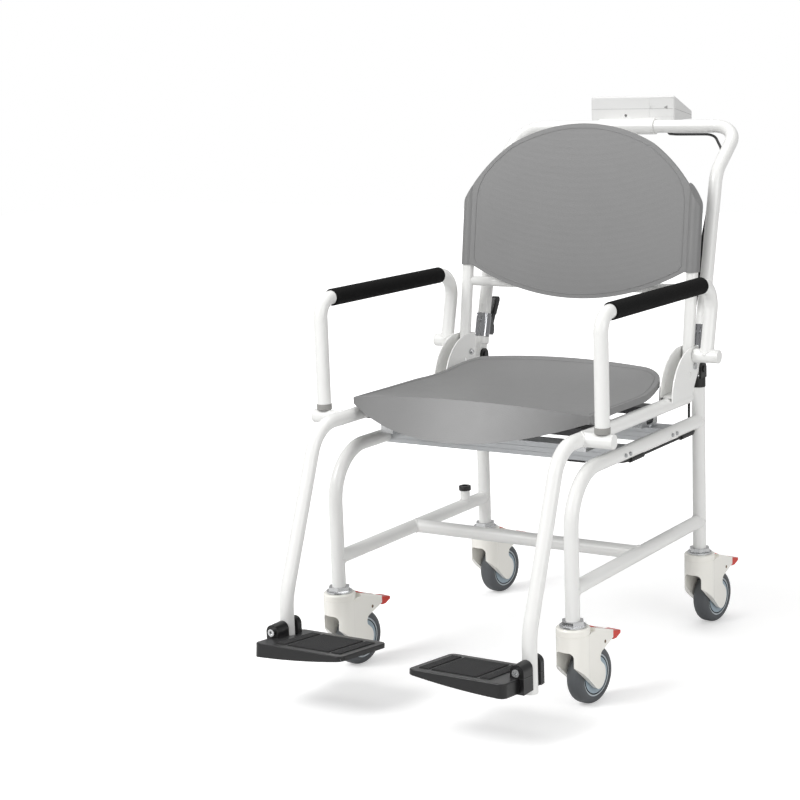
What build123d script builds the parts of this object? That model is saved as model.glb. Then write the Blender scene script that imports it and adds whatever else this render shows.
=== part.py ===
from build123d import *
import math
import os

# Chair scale: a wheeled chair whose seat frame rests on load cells.
# Millimetres, +Z up, floor at Z = 0. The sitter faces -Y, and +X is the sitter's left.

# Frame tubes
tube_d = 25.0
tube_r = tube_d / 2
half_track = 237.0
half_base = 256.0
leg_bend_r = 92.0
side_rail_z = 387.0
lower_rail_z = 194.0
caster_height = 142.0
frame_lift = 13.0
rear_post_top_z = 466.0

# Seat frame tubes, one bent tube on each side
seat_half_width = 240.0
seat_rail_z = 442.0
seat_rail_rear_y = 200.0
footrest_y = -408.0
footrest_low_z = 64.0
footrest_kink_z = 160.0
footrest_top_y = -297.0
footrest_kink_r = 120.0
seat_bend_r = 70.0
tube_lip = 1.5

# Clearances
running_gap = 0.05
body_gap = 0.3
overrun = 2.0

# Pole socket on the right lower rail
pole_y = 182.0
pole_top_z = 224.0
pole_tube_d = 19.0
pole_collar_d = 24.0
pole_collar_h = 9.0
pole_collar_lip = 3.0
pole_bore_d = 12.0
pole_bore_depth = 24.0

# Load beams and cells
beam_front_y = -68.0
beam_rear_y = 122.0
beam_depth = 44.0
beam_height = 26.0
beam_wall = 2.5
beam_rib = 1.5
beam_rib_pitch = 9.0
beam_screw_d = 7.0
beam_screw_head = 2.5
cell_x = 196.0
cell_overhang = 14.0
cell_width = 26.0
cell_height = 18.0
cell_slot_d = 11.0
cell_slot_share = 0.45
cell_foot = 22.0
cell_foot_rise = 3.0

# Seat carriers
carrier_width = 38.0
carrier_height = 14.0
carrier_wall = 2.5

# Seat shell
seat_half_x = 239.0
seat_tip_y = -185.0
seat_nose_y = -262.0
seat_rear_y = 162.0
seat_rear_corner_r = 50.0
seat_rear_half_x = 212.0
seat_narrow_y = 25.0
seat_narrow_r = 80.0
seat_skin = 5.0
seat_rim = 12.0
seat_apron_rise = 38.5
seat_boss_d = 14.0
seat_edge_z = 474.0
seat_crown_z = 492.0
seat_dish_z = 464.0
seat_rear_z = 508.0
seat_rear_corner_z = 492.0
apron_low_z = 424.0

# Gusset brackets that carry the backrest and the armrests
post_d = 22.0
post_r = post_d / 2
gusset_gap = 23.0
gusset_plate = 2.5
gusset_r = 90.0
gusset_centre_y = 196.0
gusset_centre_z = 446.0
gusset_rear_y = 220.5
gusset_web_bottom_z = 506.0
gusset_base_web_front_y = 108.0
gusset_slot_length = 12.0
gusset_slot_width = 5.0
gusset_slot_y = 184.0
gusset_slot_z = 486.0

# Backrest
back_pivot_y = 201.0
back_pivot_z = 500.0
back_lean = 0.144
pivot_bolt_d = 8.0
bolt_head_d = 12.0
bolt_head_h = 3.0
post_top_z = 772.0
crossbar_z = 638.0
crossbar_d = 19.0
panel_half_x = 253.5
panel_low_z = 670.0
panel_centre_low_z = 613.0
panel_shoulder_low_z = 781.0
panel_shoulder_x = 244.0
panel_shoulder_z = 803.0
panel_shoulder_share = 0.3
panel_neck_x = 229.0
panel_neck_z = 828.0
panel_dome_x = 150.0
panel_dome_z = 903.0
panel_fall_bulge = 5.0
panel_top_z = 940.0
panel_lens_x = 226.0
panel_lean_in = 11.0
crossbar_set_back = 26.0
crossbar_bend_inset = 44.0
crossbar_bend_r = 30.0
panel_sag = 8.0
panel_skin = 5.0
sleeve_wall = 2.2

# Armrests
arm_x = 279.0
arm_pivot_y = 200.0
arm_pivot_z = 520.0
arm_lean_y = 232.0
arm_top_z = 652.0
arm_front_y = -219.0
arm_low_z = 463.0
arm_front_bend_r = 32.0
arm_rear_bend_r = 40.0
arm_sleeve_d = 25.0
arm_sleeve_bore_d = 19.0
arm_sleeve_in_x = 255.0
arm_sleeve_out_x = 301.0
arm_cap_thick = 3.0
pad_d = 31.0
pad_front_y = -185.0
pad_rear_y = 178.0
pad_edge_r = 3.0
foot_d = 27.0
foot_height = 8.0
foot_grip = 10.0
foot_wall = 1.0
stop_end_x = 301.0

# Footplates
plate_pivot_z = 111.0
plate_inner_x = 64.0
plate_outer_x = 244.0
plate_front_reach = 90.5
plate_rear_reach = 46.0
plate_top_z = 97.0
plate_tilt_deg = 6.0
plate_skirt_outer = 24.0
plate_skirt_inner = 8.0
plate_skirt_bow = 3.0
plate_corner_r = 12.0
plate_edge_r = 2.0
plate_deck = 4.0
plate_wall = 3.5
plate_notch_gap = 5.0
plate_pocket_columns = 3
plate_pocket_rows = 2
lug_d = 25.0
lug_front_length = 30.0
lug_rear_length = 11.0
lug_gap = 0.4
lug_bolt_d = 8.0
lug_bolt_head_d = 13.0
lug_bolt_head_h = 4.0
lug_socket_d = 6.0
lug_socket_depth = 3.0
mat_inner_reach = 139.0
mat_outer_reach = 55.0
mat_front_inset = 16.0
mat_rear_inset = 18.0
mat_raise = 1.2
mat_border = 6.0
mat_strip_width = 18.0

# Folding push handle
hinge_z = 486.0
handle_lean = 0.245
hinge_base_d = 27.0
hinge_base_grip = 14.0
hinge_base_floor = 3.0
hinge_cheek = 5.0
hinge_cheek_gap = 13.0
hinge_ear_r = 12.5
hinge_pin_d = 8.0
hinge_pin_head = 2.5
hinge_pin_head_d = 13.0
column_bottom_h = 22.0
column_top_z = 845.0
bar_y = 453.0
bar_z = 926.0
column_bend_r = 55.0
corner_bend_r = 52.0
collar_d = 29.0
collar_height = 13.0
latch_sleeve_d = 29.5
latch_sleeve_low_h = 36.0
latch_sleeve_length = 46.0
latch_groove_depth = 1.2
latch_groove_h = 3.0
latch_box_width = 15.0
latch_box_low_h = 42.0
latch_box_high_h = 80.0
latch_box_reach = 33.0
latch_box_neck = 17.0
lever_width = 8.0
lever_slot = 8.8
lever_root_r = 4.5
lever_grip_r = 6.5
lever_grip_width = 12.0
lever_pivot_reach = 27.0
lever_pivot_h = 56.0
lever_length = 60.0
lever_pin_d = 4.0
latch_gap = 1.0
lever_angle_deg = 12.0
latch_knob_d = 8.0
latch_knob_h = 2.5
latch_knob_rise = 32.0
latch_button_h = 100.0
latch_button_d = 7.0

# Indicator on the handle's top bar
case_half_x = 92.0
case_front_y = 472.0
case_rear_y = 558.0
case_low_z = 937.0
case_high_z = 987.0
case_tail_z = 953.0
case_seam_front_z = 960.0
case_seam_rear_z = 944.0
case_wall = 2.5
case_corner_r = 5.0
case_edge_r = 4.0
window_half_x = 54.5
window_depth = 38.0
window_from_top = 38.0
window_thick = 1.6
window_sink = 0.6
window_lip = 2.5
key_count = 5
key_pitch = 22.4
key_width = 17.6
key_depth = 13.6
key_from_top = 73.0
key_rise = 0.9
key_gap = 0.35
key_flange = 1.2
key_flange_thick = 1.5
key_corner_r = 1.5
door_left_x = 38.0
door_low_z = 944.0
door_high_z = 981.0
door_thick = 2.2
door_gap = 0.3
door_grip_inset = 6.0
door_grip_d = 7.0
bay_depth = 20.0
bay_inset = 4.0
bay_wall = 2.0
bracket_half_x = 60.0
bracket_wall = 3.0
bracket_rear_y = 545.0
bracket_rib = 3.0
adapter_bore_d = 6.0
adapter_depth = 8.0
adapter_x = -14.0
adapter_rise = 10.0
adapter_boss = 3.0
gland_d = 9.0
gland_x = 70.0
gland_y = 486.0
gland_length = 5.0

# Casters
wheel_d = 100.0
wheel_width = 32.0
tyre_shoulder_r = 11.0
wheel_core_share = 0.73
core_rim_width = 3.0
core_groove = 2.0
core_dish = 3.0
wheel_offset = 44.0
trail_turn_deg = -8.0
stem_nut_d = 41.0
stem_nut_h = 7.5
stem_flange_d = 46.0
stem_flange_h = 3.0
stem_pin_d = 16.0
stem_pin_length = 16.0
cap_d = 58.0
cap_height = 11.0
cap_edge_r = 3.0
cap_seam = 1.2
fork_skirt_z = 80.0
fork_arch_z = 106.0
fork_arch_r = 9.0
fork_wheel_gap = 1.5
fork_arch_gap = 3.0
cheek_half = 22.5
cheek_tip_r = 22.0
notch_t = 47.0
notch_low_z = 75.0
notch_high_z = 91.5
notch_high_t = 56.0
horn_reach = 97.0
horn_half = 13.5
horn_root_z = 138.0
horn_tip_z = 115.5
horn_tip_low_z = 102.0
axle_d = 8.0
pedal_bar_width = 13.8
pedal_slot_gap = 0.4
pedal_tip_width = 24.0
pedal_reach = 122.0
pedal_pivot_t = 65.0
pedal_pivot_z = 104.0
pedal_pin_d = 5.0
pedal_front_t = 31.0
pedal_front_low_z = 132.0
pedal_front_z = 140.5
pedal_strip_t = 56.0
pedal_strip_z = 129.5
pedal_root_t = 98.5
pedal_root_z = 112.5
pedal_root_low_z = 103.0
pedal_belly_t = 46.0
pedal_belly_z = 116.0
shoe_t = 78.5
shoe_z = 91.5
shoe_back_t = 83.0
shoe_back_z = 94.5
shoe_root_t = 86.0
shoe_root_z = 99.0
pedal_tip_low_t = 108.0
pedal_tip_low_z = 97.5
pedal_tip_end_z = 104.0
pedal_tip_end_high_z = 108.0

# Indicator cable
cable_d = 5.0
cable_gap = 0.3
cable_z = 370.0
conduit_start_x = 124.0
conduit_length = 42.0
conduit_d = 10.0
cable_clip_d = 10.0
cable_clip_length = 50.0
cable_clip_front_y = -36.0
cable_clip_rear_y = 174.0
cable_tie_z = 432.0
cable_tie_length = 14.0
cable_column_offset = 19.0
cable_hinge_gap = 4.0
cable_post_clear = 20.0
cable_post_lead = 6.0
cable_post_rise = 6.0
cable_leave_h = 96.0
cable_join_h = 150.0
cable_turn_h = 250.0
cable_rear_h = 300.0
cable_turn_deg = 30.0
cable_turn_gap = 1.0
cable_upper_run = 68.0
cable_gland_lead = 34.0
cable_lower_bends = [32.0, 15.0, 10.0]
cable_upper_bends = [100.0, 100.0, 100.0, 100.0, 46.0, 60.0, 36.0, 30.0, 16.0]

sides = ((1, "left"), (-1, "right"))
foot_tilt = math.radians(plate_tilt_deg)
lever_tilt = math.radians(lever_angle_deg)
cable_turn = math.radians(cable_turn_deg)

# The origin is on the floor under the middle of the whole, between the footplates' front and the indicator's back
footplate_front_y = footrest_y - plate_front_reach * math.cos(foot_tilt) - plate_skirt_outer * math.sin(foot_tilt)
frame_y = (case_rear_y + footplate_front_y) / 2

os.makedirs("parts", exist_ok=True)


def save(build, name, lift=frame_lift):
    """Label a finished piece, set it in the shared frame and write it as one STEP file.

    Casters are drawn from the floor up, all else from a level frame_lift above it.
    """
    piece = build.part.moved(Location((0, -frame_y, lift)))
    piece.label = name
    export_step(piece, f"parts/{name}.step")


def length_between(start, end):
    """Distance between two points."""
    return (Vector(*end) - Vector(*start)).length


def rod(start, end, diameter, mode=Mode.ADD):
    """Round bar between two points, added to the part being built."""
    with BuildSketch(Plane(origin=start, z_dir=Vector(*end) - Vector(*start))) as section:
        Circle(diameter / 2)
    extrude(section.sketch, amount=length_between(start, end), mode=mode)


def bent_tube(points, bends, diameter, mode=Mode.ADD):
    """Round tube along straight runs joined by tangent bends."""
    with BuildLine() as path:
        FilletPolyline(*points, radius=bends)
    with BuildSketch(Plane(origin=path.line @ 0, z_dir=path.line % 0)) as section:
        Circle(diameter / 2)
    sweep(section.sketch, path=path.line, mode=mode)


def ring(plane, outer_d, inner_d, height, mode=Mode.ADD):
    """Round collar on a plane."""
    with BuildSketch(plane) as section:
        Circle(outer_d / 2)
        Circle(inner_d / 2, mode=Mode.SUBTRACT)
    extrude(section.sketch, amount=height, mode=mode)


# Base frame: front leg and side rail in one bent tube on each side

for side, word in sides:
    with BuildPart() as front_leg:
        leg_points = (
            (side * half_track, -half_base, caster_height),
            (side * half_track, -half_base, side_rail_z),
            (side * half_track, half_base, side_rail_z),
        )
        bent_tube(leg_points, leg_bend_r, tube_d)
        rod((side * half_track, half_base, caster_height), (side * half_track, half_base, rear_post_top_z),
            tube_d, mode=Mode.SUBTRACT)
    save(front_leg, f"front_leg_{word}")

with BuildPart() as rear_posts:
    for side, word in sides:
        rod((side * half_track, half_base, caster_height), (side * half_track, half_base, rear_post_top_z), tube_d)
save(rear_posts, "rear_posts")

for side, word in sides:
    with BuildPart() as lower_rail:
        rod((side * half_track, -half_base, lower_rail_z), (side * half_track, half_base, lower_rail_z), tube_d)
        if side < 0:
            rod((side * half_track, pole_y, lower_rail_z), (side * half_track, pole_y, pole_top_z), pole_tube_d)
            rod((side * half_track, pole_y, pole_top_z - pole_bore_depth), (side * half_track, pole_y, pole_top_z),
                pole_bore_d + 2 * pole_collar_lip, mode=Mode.SUBTRACT)
        for end in (-half_base, half_base):
            rod((side * half_track, end, caster_height), (side * half_track, end, side_rail_z),
                tube_d, mode=Mode.SUBTRACT)
    save(lower_rail, f"lower_rail_{word}")

with BuildPart() as lower_crossbar:
    rod((-half_track, 0, lower_rail_z), (half_track, 0, lower_rail_z), tube_d)
    for side, word in sides:
        rod((side * half_track, -half_base, lower_rail_z), (side * half_track, half_base, lower_rail_z),
            tube_d, mode=Mode.SUBTRACT)
save(lower_crossbar, "lower_crossbar")

# Pole socket: a black collar pressed into the stub on the right lower rail

pole_plane = Plane(origin=(-half_track, pole_y, pole_top_z), z_dir=(0, 0, 1))
with BuildPart() as pole_socket:
    ring(pole_plane, pole_collar_d, pole_bore_d, pole_collar_h)
    fillet(pole_socket.edges().group_by(Axis.Z)[-1].sort_by(SortBy.LENGTH)[-1:], pole_collar_lip / 2)
    ring(pole_plane.offset(-pole_bore_depth), pole_bore_d + 2 * pole_collar_lip, pole_bore_d, pole_bore_depth)
save(pole_socket, "pole_socket")

# Load beams: ribbed extrusions across the side rails

beam_half = half_track
with BuildPart() as load_beams:
    for beam_y in (beam_front_y, beam_rear_y):
        with BuildSketch(Plane(origin=(-beam_half, beam_y, side_rail_z), x_dir=(0, 1, 0), z_dir=(1, 0, 0))):
            Rectangle(beam_depth, beam_height)
            Rectangle(beam_depth - 2 * beam_wall, beam_height - 2 * beam_wall, mode=Mode.SUBTRACT)
            with GridLocations(0, beam_height, 1, 2):
                with GridLocations(beam_rib_pitch, 0, 4, 1):
                    Rectangle(beam_rib, beam_rib, mode=Mode.SUBTRACT)
            with GridLocations(beam_depth, 0, 2, 1):
                with GridLocations(0, beam_rib_pitch, 1, 2):
                    Rectangle(beam_rib, beam_rib, mode=Mode.SUBTRACT)
        extrude(amount=2 * beam_half)
    for side, word in sides:
        rod((side * half_track, -half_base, side_rail_z), (side * half_track, half_base, side_rail_z),
            tube_d, mode=Mode.SUBTRACT)
        for beam_y in (beam_front_y, beam_rear_y):
            for shift in (-beam_rib_pitch, beam_rib_pitch):
                head_x = side * (half_track + tube_r)
                rod((head_x, beam_y + shift, side_rail_z), (head_x + side * beam_screw_head, beam_y + shift, side_rail_z),
                    beam_screw_d)
save(load_beams, "load_beams")

# Seat surface: heights along a side profile, at a share of the half width

seat_station_shares = (-1.0, -0.8, -0.5, 0.0, 0.5, 0.8, 1.0)
seat_front_share = 0.22
seat_mid_share = 0.50
seat_back_share = 0.80
seat_boss_share = 0.5


def blend(centre, edge, share):
    """Value at a share of the half width, flat in the middle."""
    return centre + (edge - centre) * share ** 2


def seat_profile(share):
    """Five points (y, z) along the top of the seat, from its nose to its rear edge."""
    nose_y = blend(seat_nose_y + seat_apron_rise, seat_tip_y, share)
    nose_z = blend(seat_crown_z, seat_edge_z, share)
    dish_z = blend(seat_dish_z, seat_edge_z, share)
    rear_z = blend(seat_rear_z, seat_rear_corner_z, share)
    span = seat_rear_y - nose_y
    return (
        (nose_y, nose_z),
        (nose_y + seat_front_share * span, dish_z + (nose_z - dish_z) * seat_front_share),
        (nose_y + seat_mid_share * span, dish_z),
        (nose_y + seat_back_share * span, dish_z + (rear_z - dish_z) * seat_front_share),
        (seat_rear_y, rear_z),
    )


boss_profile = seat_profile(seat_boss_share)
boss_x = seat_boss_share * seat_half_x
carrier_front_y, boss_front_z = boss_profile[1]
carrier_rear_y, boss_rear_z = boss_profile[3]

# Load cells: slotted bars, one end bolted to a beam, the other end under a seat carrier

cell_low_z = side_rail_z + beam_height / 2 + cell_foot_rise
carrier_low_z = seat_rail_z - tube_r
cell_pairs = ((beam_front_y, carrier_front_y), (beam_rear_y, carrier_rear_y))
with BuildPart() as load_cells:
    for side, word in sides:
        for beam_y, carrier_y in cell_pairs:
            middle_y = (beam_y + carrier_y) / 2
            reach = abs(beam_y - carrier_y)
            with BuildSketch(Plane(origin=(side * cell_x, middle_y, cell_low_z + cell_height / 2),
                                   x_dir=(0, 1, 0), z_dir=(1, 0, 0))):
                Rectangle(reach + 2 * cell_overhang, cell_height)
                SlotOverall(cell_slot_share * (reach + 2 * cell_overhang), cell_slot_d, mode=Mode.SUBTRACT)
            extrude(amount=cell_width / 2, both=True)
            rod((side * cell_x, beam_y, cell_low_z - cell_foot_rise), (side * cell_x, beam_y, cell_low_z), cell_foot)
            rod((side * cell_x, carrier_y, cell_low_z + cell_height), (side * cell_x, carrier_y, carrier_low_z),
                cell_foot)
save(load_cells, "load_cells")

# Seat frame: footrest hanger, bend and seat rail in one tube, with the armrest stop welded on

for side, word in sides:
    seat_x = side * seat_half_width
    with BuildPart() as seat_rail:
        rod((seat_x, arm_front_y, seat_rail_z), (side * stop_end_x, arm_front_y, seat_rail_z), tube_d)
        hanger_points = (
            (seat_x, footrest_y, footrest_low_z),
            (seat_x, footrest_y, footrest_kink_z),
            (seat_x, footrest_top_y, seat_rail_z),
            (seat_x, seat_rail_rear_y, seat_rail_z),
        )
        bent_tube(hanger_points, [footrest_kink_r, seat_bend_r], tube_d)
        ends = seat_rail.faces().filter_by(GeomType.PLANE)
        fillet(ends.edges().filter_by(GeomType.CIRCLE), tube_lip)
        rod((seat_x, footrest_y - tube_d, plate_pivot_z), (seat_x, footrest_y + tube_d, plate_pivot_z),
            lug_bolt_d, mode=Mode.SUBTRACT)
    save(seat_rail, f"seat_rail_{word}")

# Seat carriers: two inverted channels across the seat rails

with BuildPart() as seat_supports:
    for carrier_y in (carrier_front_y, carrier_rear_y):
        with BuildSketch(Plane(origin=(-seat_half_width, carrier_y, carrier_low_z + carrier_height / 2),
                               x_dir=(0, 1, 0), z_dir=(1, 0, 0))):
            Rectangle(carrier_width, carrier_height)
            with Locations((0, -carrier_wall)):
                Rectangle(carrier_width - 2 * carrier_wall, carrier_height, mode=Mode.SUBTRACT)
        extrude(amount=2 * seat_half_width)
        for side, word in sides:
            with Locations((side * cell_x, carrier_y, carrier_low_z + carrier_height / 2)):
                Box(cell_foot + 2 * carrier_wall, carrier_width, carrier_height)
    for side, word in sides:
        rod((side * seat_half_width, -half_base, seat_rail_z), (side * seat_half_width, half_base, seat_rail_z),
            tube_d, mode=Mode.SUBTRACT)
save(seat_supports, "seat_supports")

# Seat shell: a dished pan with a crescent apron, a rim all round and four bosses on the carriers


def seat_section(share, inset, drop, depth):
    """Side profile of the seat at a share of the half width, drawn in and dropped by the skin."""
    points = seat_profile(share)
    lip_y = blend(seat_nose_y, seat_tip_y, share)
    lip_z = blend(apron_low_z, seat_edge_z - seat_rim, share)
    top = [(y, z - drop) for y, z in points]
    top[0] = (points[0][0] + inset, points[0][1] - drop)
    top[-1] = (points[-1][0] - inset, points[-1][1] - drop)
    low = [(y, z - depth) for y, z in top]
    lip = (lip_y + inset, lip_z - drop)
    lip_back = (lip_y + inset + seat_skin, lip_z - drop)
    back = (top[0][0] + 2 * seat_skin, low[0][1] - seat_skin)
    with BuildSketch(Plane(origin=(share * seat_half_x, 0, 0), x_dir=(0, 1, 0), z_dir=(1, 0, 0))) as section:
        with BuildLine():
            Line(lip, top[0])
            Spline(*top)
            Line(top[-1], low[-1])
            Spline(*reversed(low[1:]), back)
            Line(back, lip_back)
            Line(lip_back, lip)
        make_face()
    return section.sketch


def seat_outline(inset):
    """Plan of the seat, drawn in by the skin: straight sides that narrow between the gussets."""
    half = seat_half_x - inset
    rear = seat_rear_half_x - inset
    with BuildSketch(Plane.XY) as plan:
        Polygon((-half, seat_nose_y - seat_skin), (half, seat_nose_y - seat_skin), (half, seat_narrow_y),
                (rear, seat_rear_y - inset), (-rear, seat_rear_y - inset), (-half, seat_narrow_y), align=None)
        fillet(plan.vertices().group_by(Axis.Y)[-1], seat_rear_corner_r - inset)
        fillet(plan.vertices().group_by(Axis.Y)[1:2], seat_narrow_r)
    return plan.sketch


hollow_share = 1 - seat_skin / seat_half_x
with BuildPart() as seat_hollow:
    loft([seat_section(share * hollow_share, seat_skin, seat_skin, 2 * seat_rim) for share in seat_station_shares])
    extrude(seat_outline(seat_skin), amount=seat_rear_z + seat_rim, mode=Mode.INTERSECT)

with BuildPart() as seat_shell:
    loft([seat_section(share, 0, 0, seat_rim) for share in seat_station_shares])
    extrude(seat_outline(0), amount=seat_rear_z + seat_rim, mode=Mode.INTERSECT)
    add(seat_hollow.part, mode=Mode.SUBTRACT)
    for side, word in sides:
        for boss_y, boss_z in ((carrier_front_y, boss_front_z), (carrier_rear_y, boss_rear_z)):
            rod((side * boss_x, boss_y, carrier_low_z + carrier_height), (side * boss_x, boss_y, boss_z - seat_skin / 2),
                seat_boss_d)
save(seat_shell, "seat_shell")

# Gusset brackets: quarter-round cheeks each side of the backrest post, closed by a base and a rear web

with BuildPart() as gusset_brackets:
    for side, word in sides:
        seat_x = side * seat_half_width
        plate_mid = gusset_gap / 2 + gusset_plate / 2
        cheek_face = Plane(origin=(seat_x, 0, 0), x_dir=(0, 1, 0), z_dir=(1, 0, 0))
        for cheek in (-1, 1):
            with BuildSketch(cheek_face.offset(cheek * plate_mid)):
                with BuildLine():
                    Polyline((gusset_centre_y, gusset_centre_z + gusset_r), (gusset_rear_y, gusset_centre_z + gusset_r),
                             (gusset_rear_y, gusset_centre_z + gusset_r / 2),
                             (seat_rail_rear_y - tube_r, gusset_centre_z),
                             (gusset_centre_y - gusset_r, gusset_centre_z))
                    RadiusArc((gusset_centre_y - gusset_r, gusset_centre_z),
                              (gusset_centre_y, gusset_centre_z + gusset_r), gusset_r)
                make_face()
                with Locations((gusset_slot_y, gusset_slot_z)):
                    SlotOverall(gusset_slot_length, gusset_slot_width, rotation=90, mode=Mode.SUBTRACT)
            extrude(amount=gusset_plate / 2, both=True)
        rear_web_height = gusset_centre_z + gusset_r - gusset_web_bottom_z
        with Locations((seat_x, gusset_rear_y - gusset_plate / 2, gusset_web_bottom_z + rear_web_height / 2)):
            Box(gusset_gap, gusset_plate, rear_web_height)
        base_length = seat_rail_rear_y - gusset_base_web_front_y
        with Locations((seat_x, gusset_base_web_front_y + base_length / 2,
                        seat_rail_z + tube_r + gusset_plate / 2)):
            Box(gusset_gap, base_length, gusset_plate)
        rod((seat_x - 2 * tube_d, back_pivot_y, back_pivot_z), (seat_x + 2 * tube_d, back_pivot_y, back_pivot_z),
            pivot_bolt_d, mode=Mode.SUBTRACT)
        rod((seat_x, -half_base, seat_rail_z), (seat_x, half_base, seat_rail_z), tube_d, mode=Mode.SUBTRACT)
save(gusset_brackets, "gusset_brackets")

# Pivot bolts: through both cheeks and the post, domed nut on the inside

cheek_reach = gusset_gap / 2 + gusset_plate
with BuildPart() as backrest_pivot_bolts:
    for side, word in sides:
        seat_x = side * seat_half_width
        bolt_in = (seat_x - side * cheek_reach, back_pivot_y, back_pivot_z)
        bolt_out = (seat_x + side * cheek_reach, back_pivot_y, back_pivot_z)
        head_end = (bolt_out[0] + side * bolt_head_h, back_pivot_y, back_pivot_z)
        nut_end = (bolt_in[0] - side * bolt_head_h, back_pivot_y, back_pivot_z)
        rod(bolt_in, bolt_out, pivot_bolt_d)
        rod(bolt_out, head_end, bolt_head_d)
        rod(bolt_in, nut_end, bolt_head_d)
        with Locations(nut_end):
            Sphere(bolt_head_d / 2 - tube_lip)
save(backrest_pivot_bolts, "backrest_pivot_bolts")

# Armrest pivot pins: stub axles welded to the outer cheeks, each with a flat end cap

with BuildPart() as arm_pivot_pins:
    for side, word in sides:
        pin_start = (side * (seat_half_width + cheek_reach), arm_pivot_y, arm_pivot_z)
        cap_start = (side * (arm_sleeve_out_x + body_gap), arm_pivot_y, arm_pivot_z)
        cap_end = (side * (arm_sleeve_out_x + body_gap + arm_cap_thick), arm_pivot_y, arm_pivot_z)
        rod(pin_start, cap_start, arm_sleeve_bore_d - 2 * running_gap)
        rod(cap_start, cap_end, arm_sleeve_d)
    fillet(arm_pivot_pins.faces().sort_by(Axis.X)[-1].edges(), tube_lip / 2)
    fillet(arm_pivot_pins.faces().sort_by(Axis.X)[0].edges(), tube_lip / 2)
save(arm_pivot_pins, "arm_pivot_pins")

# Backrest: two posts on the pivot bolts, a bowed crossbar and a domed shell

back_tilt = math.atan(back_lean)
back_axis = Vector(0, math.sin(back_tilt), math.cos(back_tilt))
back_plane = Plane(origin=(0, back_pivot_y, back_pivot_z), x_dir=(1, 0, 0), z_dir=tuple(back_axis))
post_rise = (post_top_z - back_pivot_z) / math.cos(back_tilt)

with BuildPart() as backrest_posts:
    for side, word in sides:
        seat_x = side * seat_half_width
        with BuildSketch(back_plane):
            with Locations((seat_x, 0)):
                Circle(post_r)
        extrude(amount=post_rise)
        with Locations((seat_x, back_pivot_y, back_pivot_z)):
            Sphere(post_r)
        rod((seat_x - tube_d, back_pivot_y, back_pivot_z), (seat_x + tube_d, back_pivot_y, back_pivot_z),
            pivot_bolt_d + 2 * running_gap, mode=Mode.SUBTRACT)
save(backrest_posts, "backrest_posts")

crossbar_rise = (crossbar_z - back_pivot_z) / math.cos(back_tilt)
with BuildPart() as backrest_crossbar:
    bar_plane = back_plane.offset(crossbar_rise)
    bar_points = [bar_plane.from_local_coords(point) for point in (
        Vector(-seat_half_width, 0, 0), Vector(-(seat_half_width - crossbar_bend_inset), crossbar_set_back, 0),
        Vector((seat_half_width - crossbar_bend_inset), crossbar_set_back, 0), Vector(seat_half_width, 0, 0))]
    bent_tube(bar_points, [crossbar_bend_r, crossbar_bend_r], crossbar_d)
    for side, word in sides:
        with BuildSketch(back_plane):
            with Locations((side * seat_half_width, 0)):
                Circle(post_r)
        extrude(amount=post_rise, mode=Mode.SUBTRACT)
save(backrest_crossbar, "backrest_crossbar")

panel_rise = (panel_top_z - back_pivot_z) / math.cos(back_tilt) + tube_d
sleeve_r = post_r + body_gap + sleeve_wall
with BuildPart() as backrest_shell:
    with BuildSketch(back_plane):
        with BuildLine():
            front_arc = ThreePointArc((-seat_half_width, -panel_lean_in), (0, panel_sag - panel_lean_in),
                                      (seat_half_width, -panel_lean_in))
            rear_arc = ThreePointArc((-seat_half_width, panel_skin - panel_lean_in),
                                     (0, panel_sag + panel_skin - panel_lean_in),
                                     (seat_half_width, panel_skin - panel_lean_in))
            Line(front_arc @ 0, rear_arc @ 0)
            Line(front_arc @ 1, rear_arc @ 1)
        make_face()
        with GridLocations(2 * seat_half_width, 0, 2, 1):
            Circle(sleeve_r)
    extrude(amount=panel_rise)
    with BuildSketch(back_plane):
        with GridLocations(2 * seat_half_width, 0, 2, 1):
            Circle(post_r + body_gap)
    extrude(amount=post_rise + body_gap, mode=Mode.SUBTRACT)
    with BuildSketch(Plane(origin=(0, 0, 0), x_dir=(1, 0, 0), z_dir=(0, -1, 0))):
        with BuildLine():
            ThreePointArc((-panel_dome_x, panel_dome_z), (0, panel_top_z), (panel_dome_x, panel_dome_z))
            ThreePointArc((-panel_lens_x, panel_low_z), (0, panel_centre_low_z), (panel_lens_x, panel_low_z))
            shoulder_bulge = panel_shoulder_share * (panel_half_x - panel_shoulder_x)
            shoulder_mid_z = (panel_shoulder_low_z + panel_shoulder_z) / 2
            for side, word in sides:
                SagittaArc((side * panel_dome_x, panel_dome_z), (side * panel_neck_x, panel_neck_z),
                           side * panel_fall_bulge)
                Line((side * panel_neck_x, panel_neck_z), (side * panel_shoulder_x, panel_shoulder_z))
                ThreePointArc((side * panel_shoulder_x, panel_shoulder_z),
                              (side * (panel_half_x - shoulder_bulge), shoulder_mid_z),
                              (side * panel_half_x, panel_shoulder_low_z))
                Line((side * panel_half_x, panel_shoulder_low_z), (side * panel_half_x, panel_low_z))
                Line((side * panel_half_x, panel_low_z), (side * panel_lens_x, panel_low_z))
        make_face()
    extrude(amount=2 * half_base, both=True, mode=Mode.INTERSECT)
save(backrest_shell, "backrest_shell")

# Armrests: bent tube on a pivot sleeve, foam sleeve on top, rubber foot on the front post

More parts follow.
